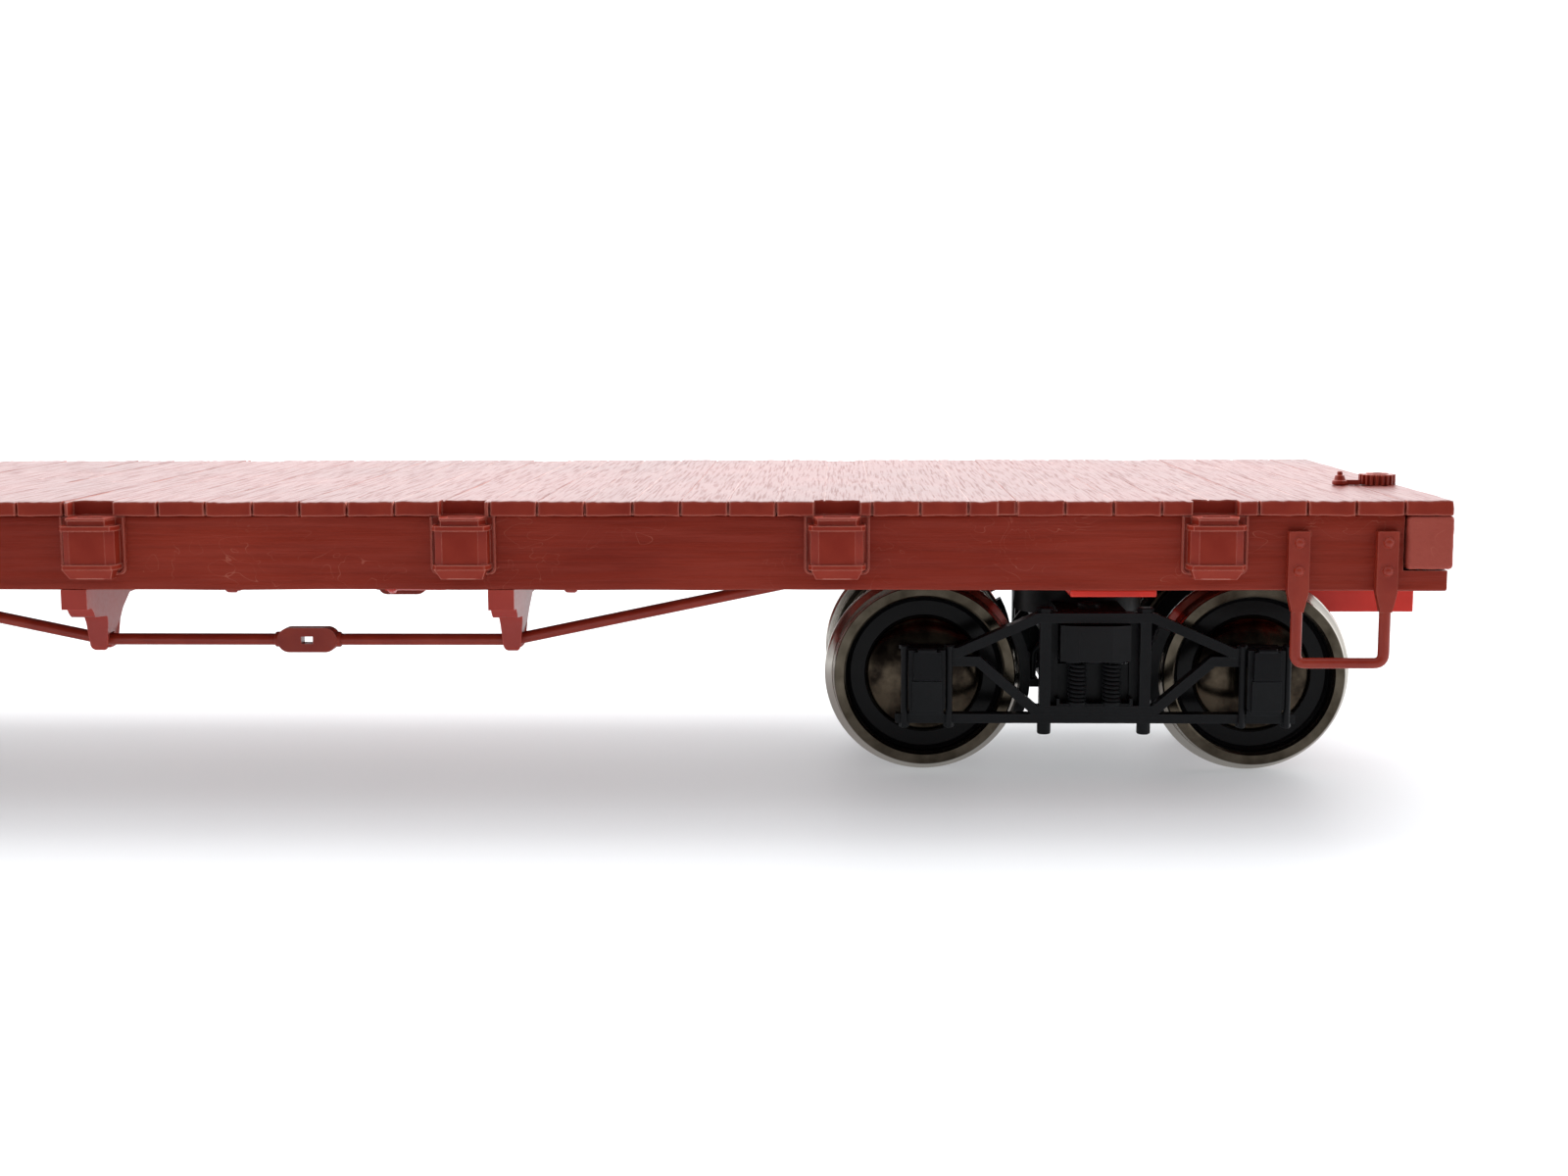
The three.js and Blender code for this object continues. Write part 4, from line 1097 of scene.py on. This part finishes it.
def wheel_mesh():
    """A plated wheel: flange, coned tread, deep dish and domed hub plate, round its own axle."""
    low, high = box_mm("front_outer_wheel_left")
    back, outer = low[Y], high[Y]
    flange = (high[Z] - low[Z]) / 2
    tread, bore, dish, tip = flange - FLANGE_DEPTH, 1.0, outer - 1.4, 0.32
    rear = [(bore, back), (2.6, back), (2.9, back + 0.3), (flange - 1.6, back + 0.3),
            (flange - 1.3, back + 0.1)]
    flange_tip = arc((flange - tip, back + 0.42), tip, -90, 70, 8)
    fillet = [(tread + 0.32, back + 0.86), (tread + 0.12, back + 1.0), (tread + 0.05, back + 1.2)]
    rim = [(tread - 0.05, outer - 0.14), (tread - 0.18, outer), (RIM_INSIDE + 0.14, outer),
           (RIM_INSIDE, outer - 0.12), (RIM_INSIDE - 0.22, dish + 0.3), (RIM_INSIDE - 0.5, dish)]
    hub = [(HUB_PLATE * share, dish + (outer - 0.22 - dish) * (1 - (share * 0.98) ** 2.2) ** 0.5)
           for share in (1.0, 0.98, 0.94, 0.88, 0.79, 0.68, 0.55, 0.42, 0.31)]
    profile = [*rear, *flange_tip, *fillet, *rim, (HUB_PLATE + 0.15, dish), *hub, (bore, outer - 0.25)]
    return metre_mesh("wheel", turned(profile, (0, 0, 0), Y, 112))


def axle_mesh():
    """A plain steel axle with slimmer journals and coned ends, round its own middle."""
    low, high = box_mm("front_outer_axle")
    radius, journal = (high[X] - low[X]) / 2, 0.7
    shoulder, end = 10.25, high[Y]
    half = [(0.0, end), (0.25, end - 0.35), (journal, end - 0.75), (journal, shoulder + 0.1),
            (radius - 0.1, shoulder), (radius, shoulder - 0.1)]
    profile = half + [(r, -y) for r, y in reversed(half)]
    return metre_mesh("axle", turned(profile, (0, 0, 0), Y, 48))


def make_wheelsets():
    axle, wheels = axle_mesh(), pair(wheel_mesh(), Y)
    for end, direction in ENDS.items():
        for place, x in (("outer", OUTER_X), ("inner", INNER_X)):
            body = f"{end}_{place}_wheelset"
            here = (direction * x, 0, AXLE_Z)
            add_piece(f"axle_{end}_{place}", axle, "steel", body, f"{end}_{place}_axle", place=here)
            for side in SIDES:
                add_piece(f"wheel_{end}_{place}_{side}", wheels[side], "wheel_metal", body,
                          f"{end}_{place}_wheel_{side}", place=here, sharp=30)


def make_trucks():
    """All the fixed parts of each truck, round the truck's own middle."""
    frames, springs = pair(side_frame_mesh(), Y), pair(spring_mesh(), Y)
    brakes = pair(brake_gear_mesh(), X)
    bolster, plank_below = truck_bolster_mesh(), spring_seat_mesh()
    for end, direction in ENDS.items():
        truck = {"slot": "truck_black", "body": f"{end}_truck", "place": (direction * TRUCK_X, 0, 0)}
        for side in SIDES:
            node = f"truck_{end}_frame_{side}"
            add_piece(f"archbar_{end}_{side}", frames[side], node=node, bevel=0.1, **truck)
            add_piece(f"springs_{end}_{side}", springs[side], **truck)
        add_piece(f"bolster_{end}", bolster, node=f"truck_{end}_bolster", bevel=0.1, **truck)
        add_piece(f"spring_plank_{end}", plank_below, bevel=0.05, **truck)
        for place, mesh in brakes.items():
            add_piece(f"brake_gear_{end}_{place}", mesh, bevel=0.06, **truck)


# ---- Kingpins and brake cylinder -----------------------------------------------------------

def make_kingpins():
    """Pan-head screws with a cross recess, up through each truck's bolster."""
    for end in ENDS:
        node = f"kingpin_{end}"
        low, high = box_mm(node)
        x = middle_mm(node)[X]
        radius, rounding, shank, head_top = (high[X] - low[X]) / 2, 0.5, 1.1, low[Z] + 1.2
        head = arc((radius - rounding, low[Z] + rounding), rounding, -90, 0, 5)
        profile = [(0, low[Z]), *head, (radius, head_top), (shank, head_top), (shank, high[Z]), (0, high[Z])]
        slots = [block(x - a, x + a, -b, b, low[Z] - 1, low[Z] + 0.5) for a, b in ((1.1, 0.22), (0.22, 1.1))]
        mesh = fused("screw", [turned(profile, (x, 0, 0), Z, 40)], slots)
        add_piece(f"pivot_screw_{end}", mesh, "steel", "car_body", node)


def make_brake_cylinder():
    """A flanged cylinder on a flat bracket, with a ring of bolts on its cover and a push rod."""
    low, high = box_mm("brake_cylinder")
    radius = (high[Y] - low[Y]) / 2
    y, z = middle_mm("brake_cylinder")[Y], low[Z] + radius
    start = low[X]
    barrel = cylinder(radius - 0.3, start + 0.2, start + 6.0, (0, y, z), X, rounding=0.3)
    cover = cylinder(radius, start + 0.25, start + 0.8, (0, y, z), X, rounding=0.12)
    rod = cylinder(0.45, start + 5, high[X], (0, y, z), X, rounding=0.12, segments=20)
    bolt_places = [(0, b, c) for b, c in arc((y, z), 1.75, 0, 300, 5)]
    bolts = all_of([hexagon(0.26, start, start + 1.0, place, X) for place in bolt_places])
    bracket = block(start + 1.2, start + 4.8, y - 0.9, y + 0.9, z, high[Z])
    mesh = fused("cylinder", [barrel, cover, rod, bolts, bracket])
    add_piece("air_cylinder", mesh, "moulded_red", "car_body", "brake_cylinder", bevel=0.05)


KEPT_NODES = {"centre_sill": "body_red", "inner_sill_left": "body_red", "inner_sill_right": "body_red",
              "weight_plate": "steel", "body_bolster_front": "moulded_red",
              "body_bolster_rear": "moulded_red", "coupler_pad_front": "moulded_red",
              "coupler_pad_rear": "moulded_red"}

make_camera()
make_room()
make_lights()
make_floor()
make_deck()
make_side_sills()
make_end_beams()
make_stake_pockets()
make_steps()
make_needle_beams()
make_truss_rods()
make_ratchet()
make_pawl()
make_brake_cylinder()
make_kingpins()
make_trucks()
make_wheelsets()
for node_name, material_name in KEPT_NODES.items():
    dress_cad_node(node_name, material_name)
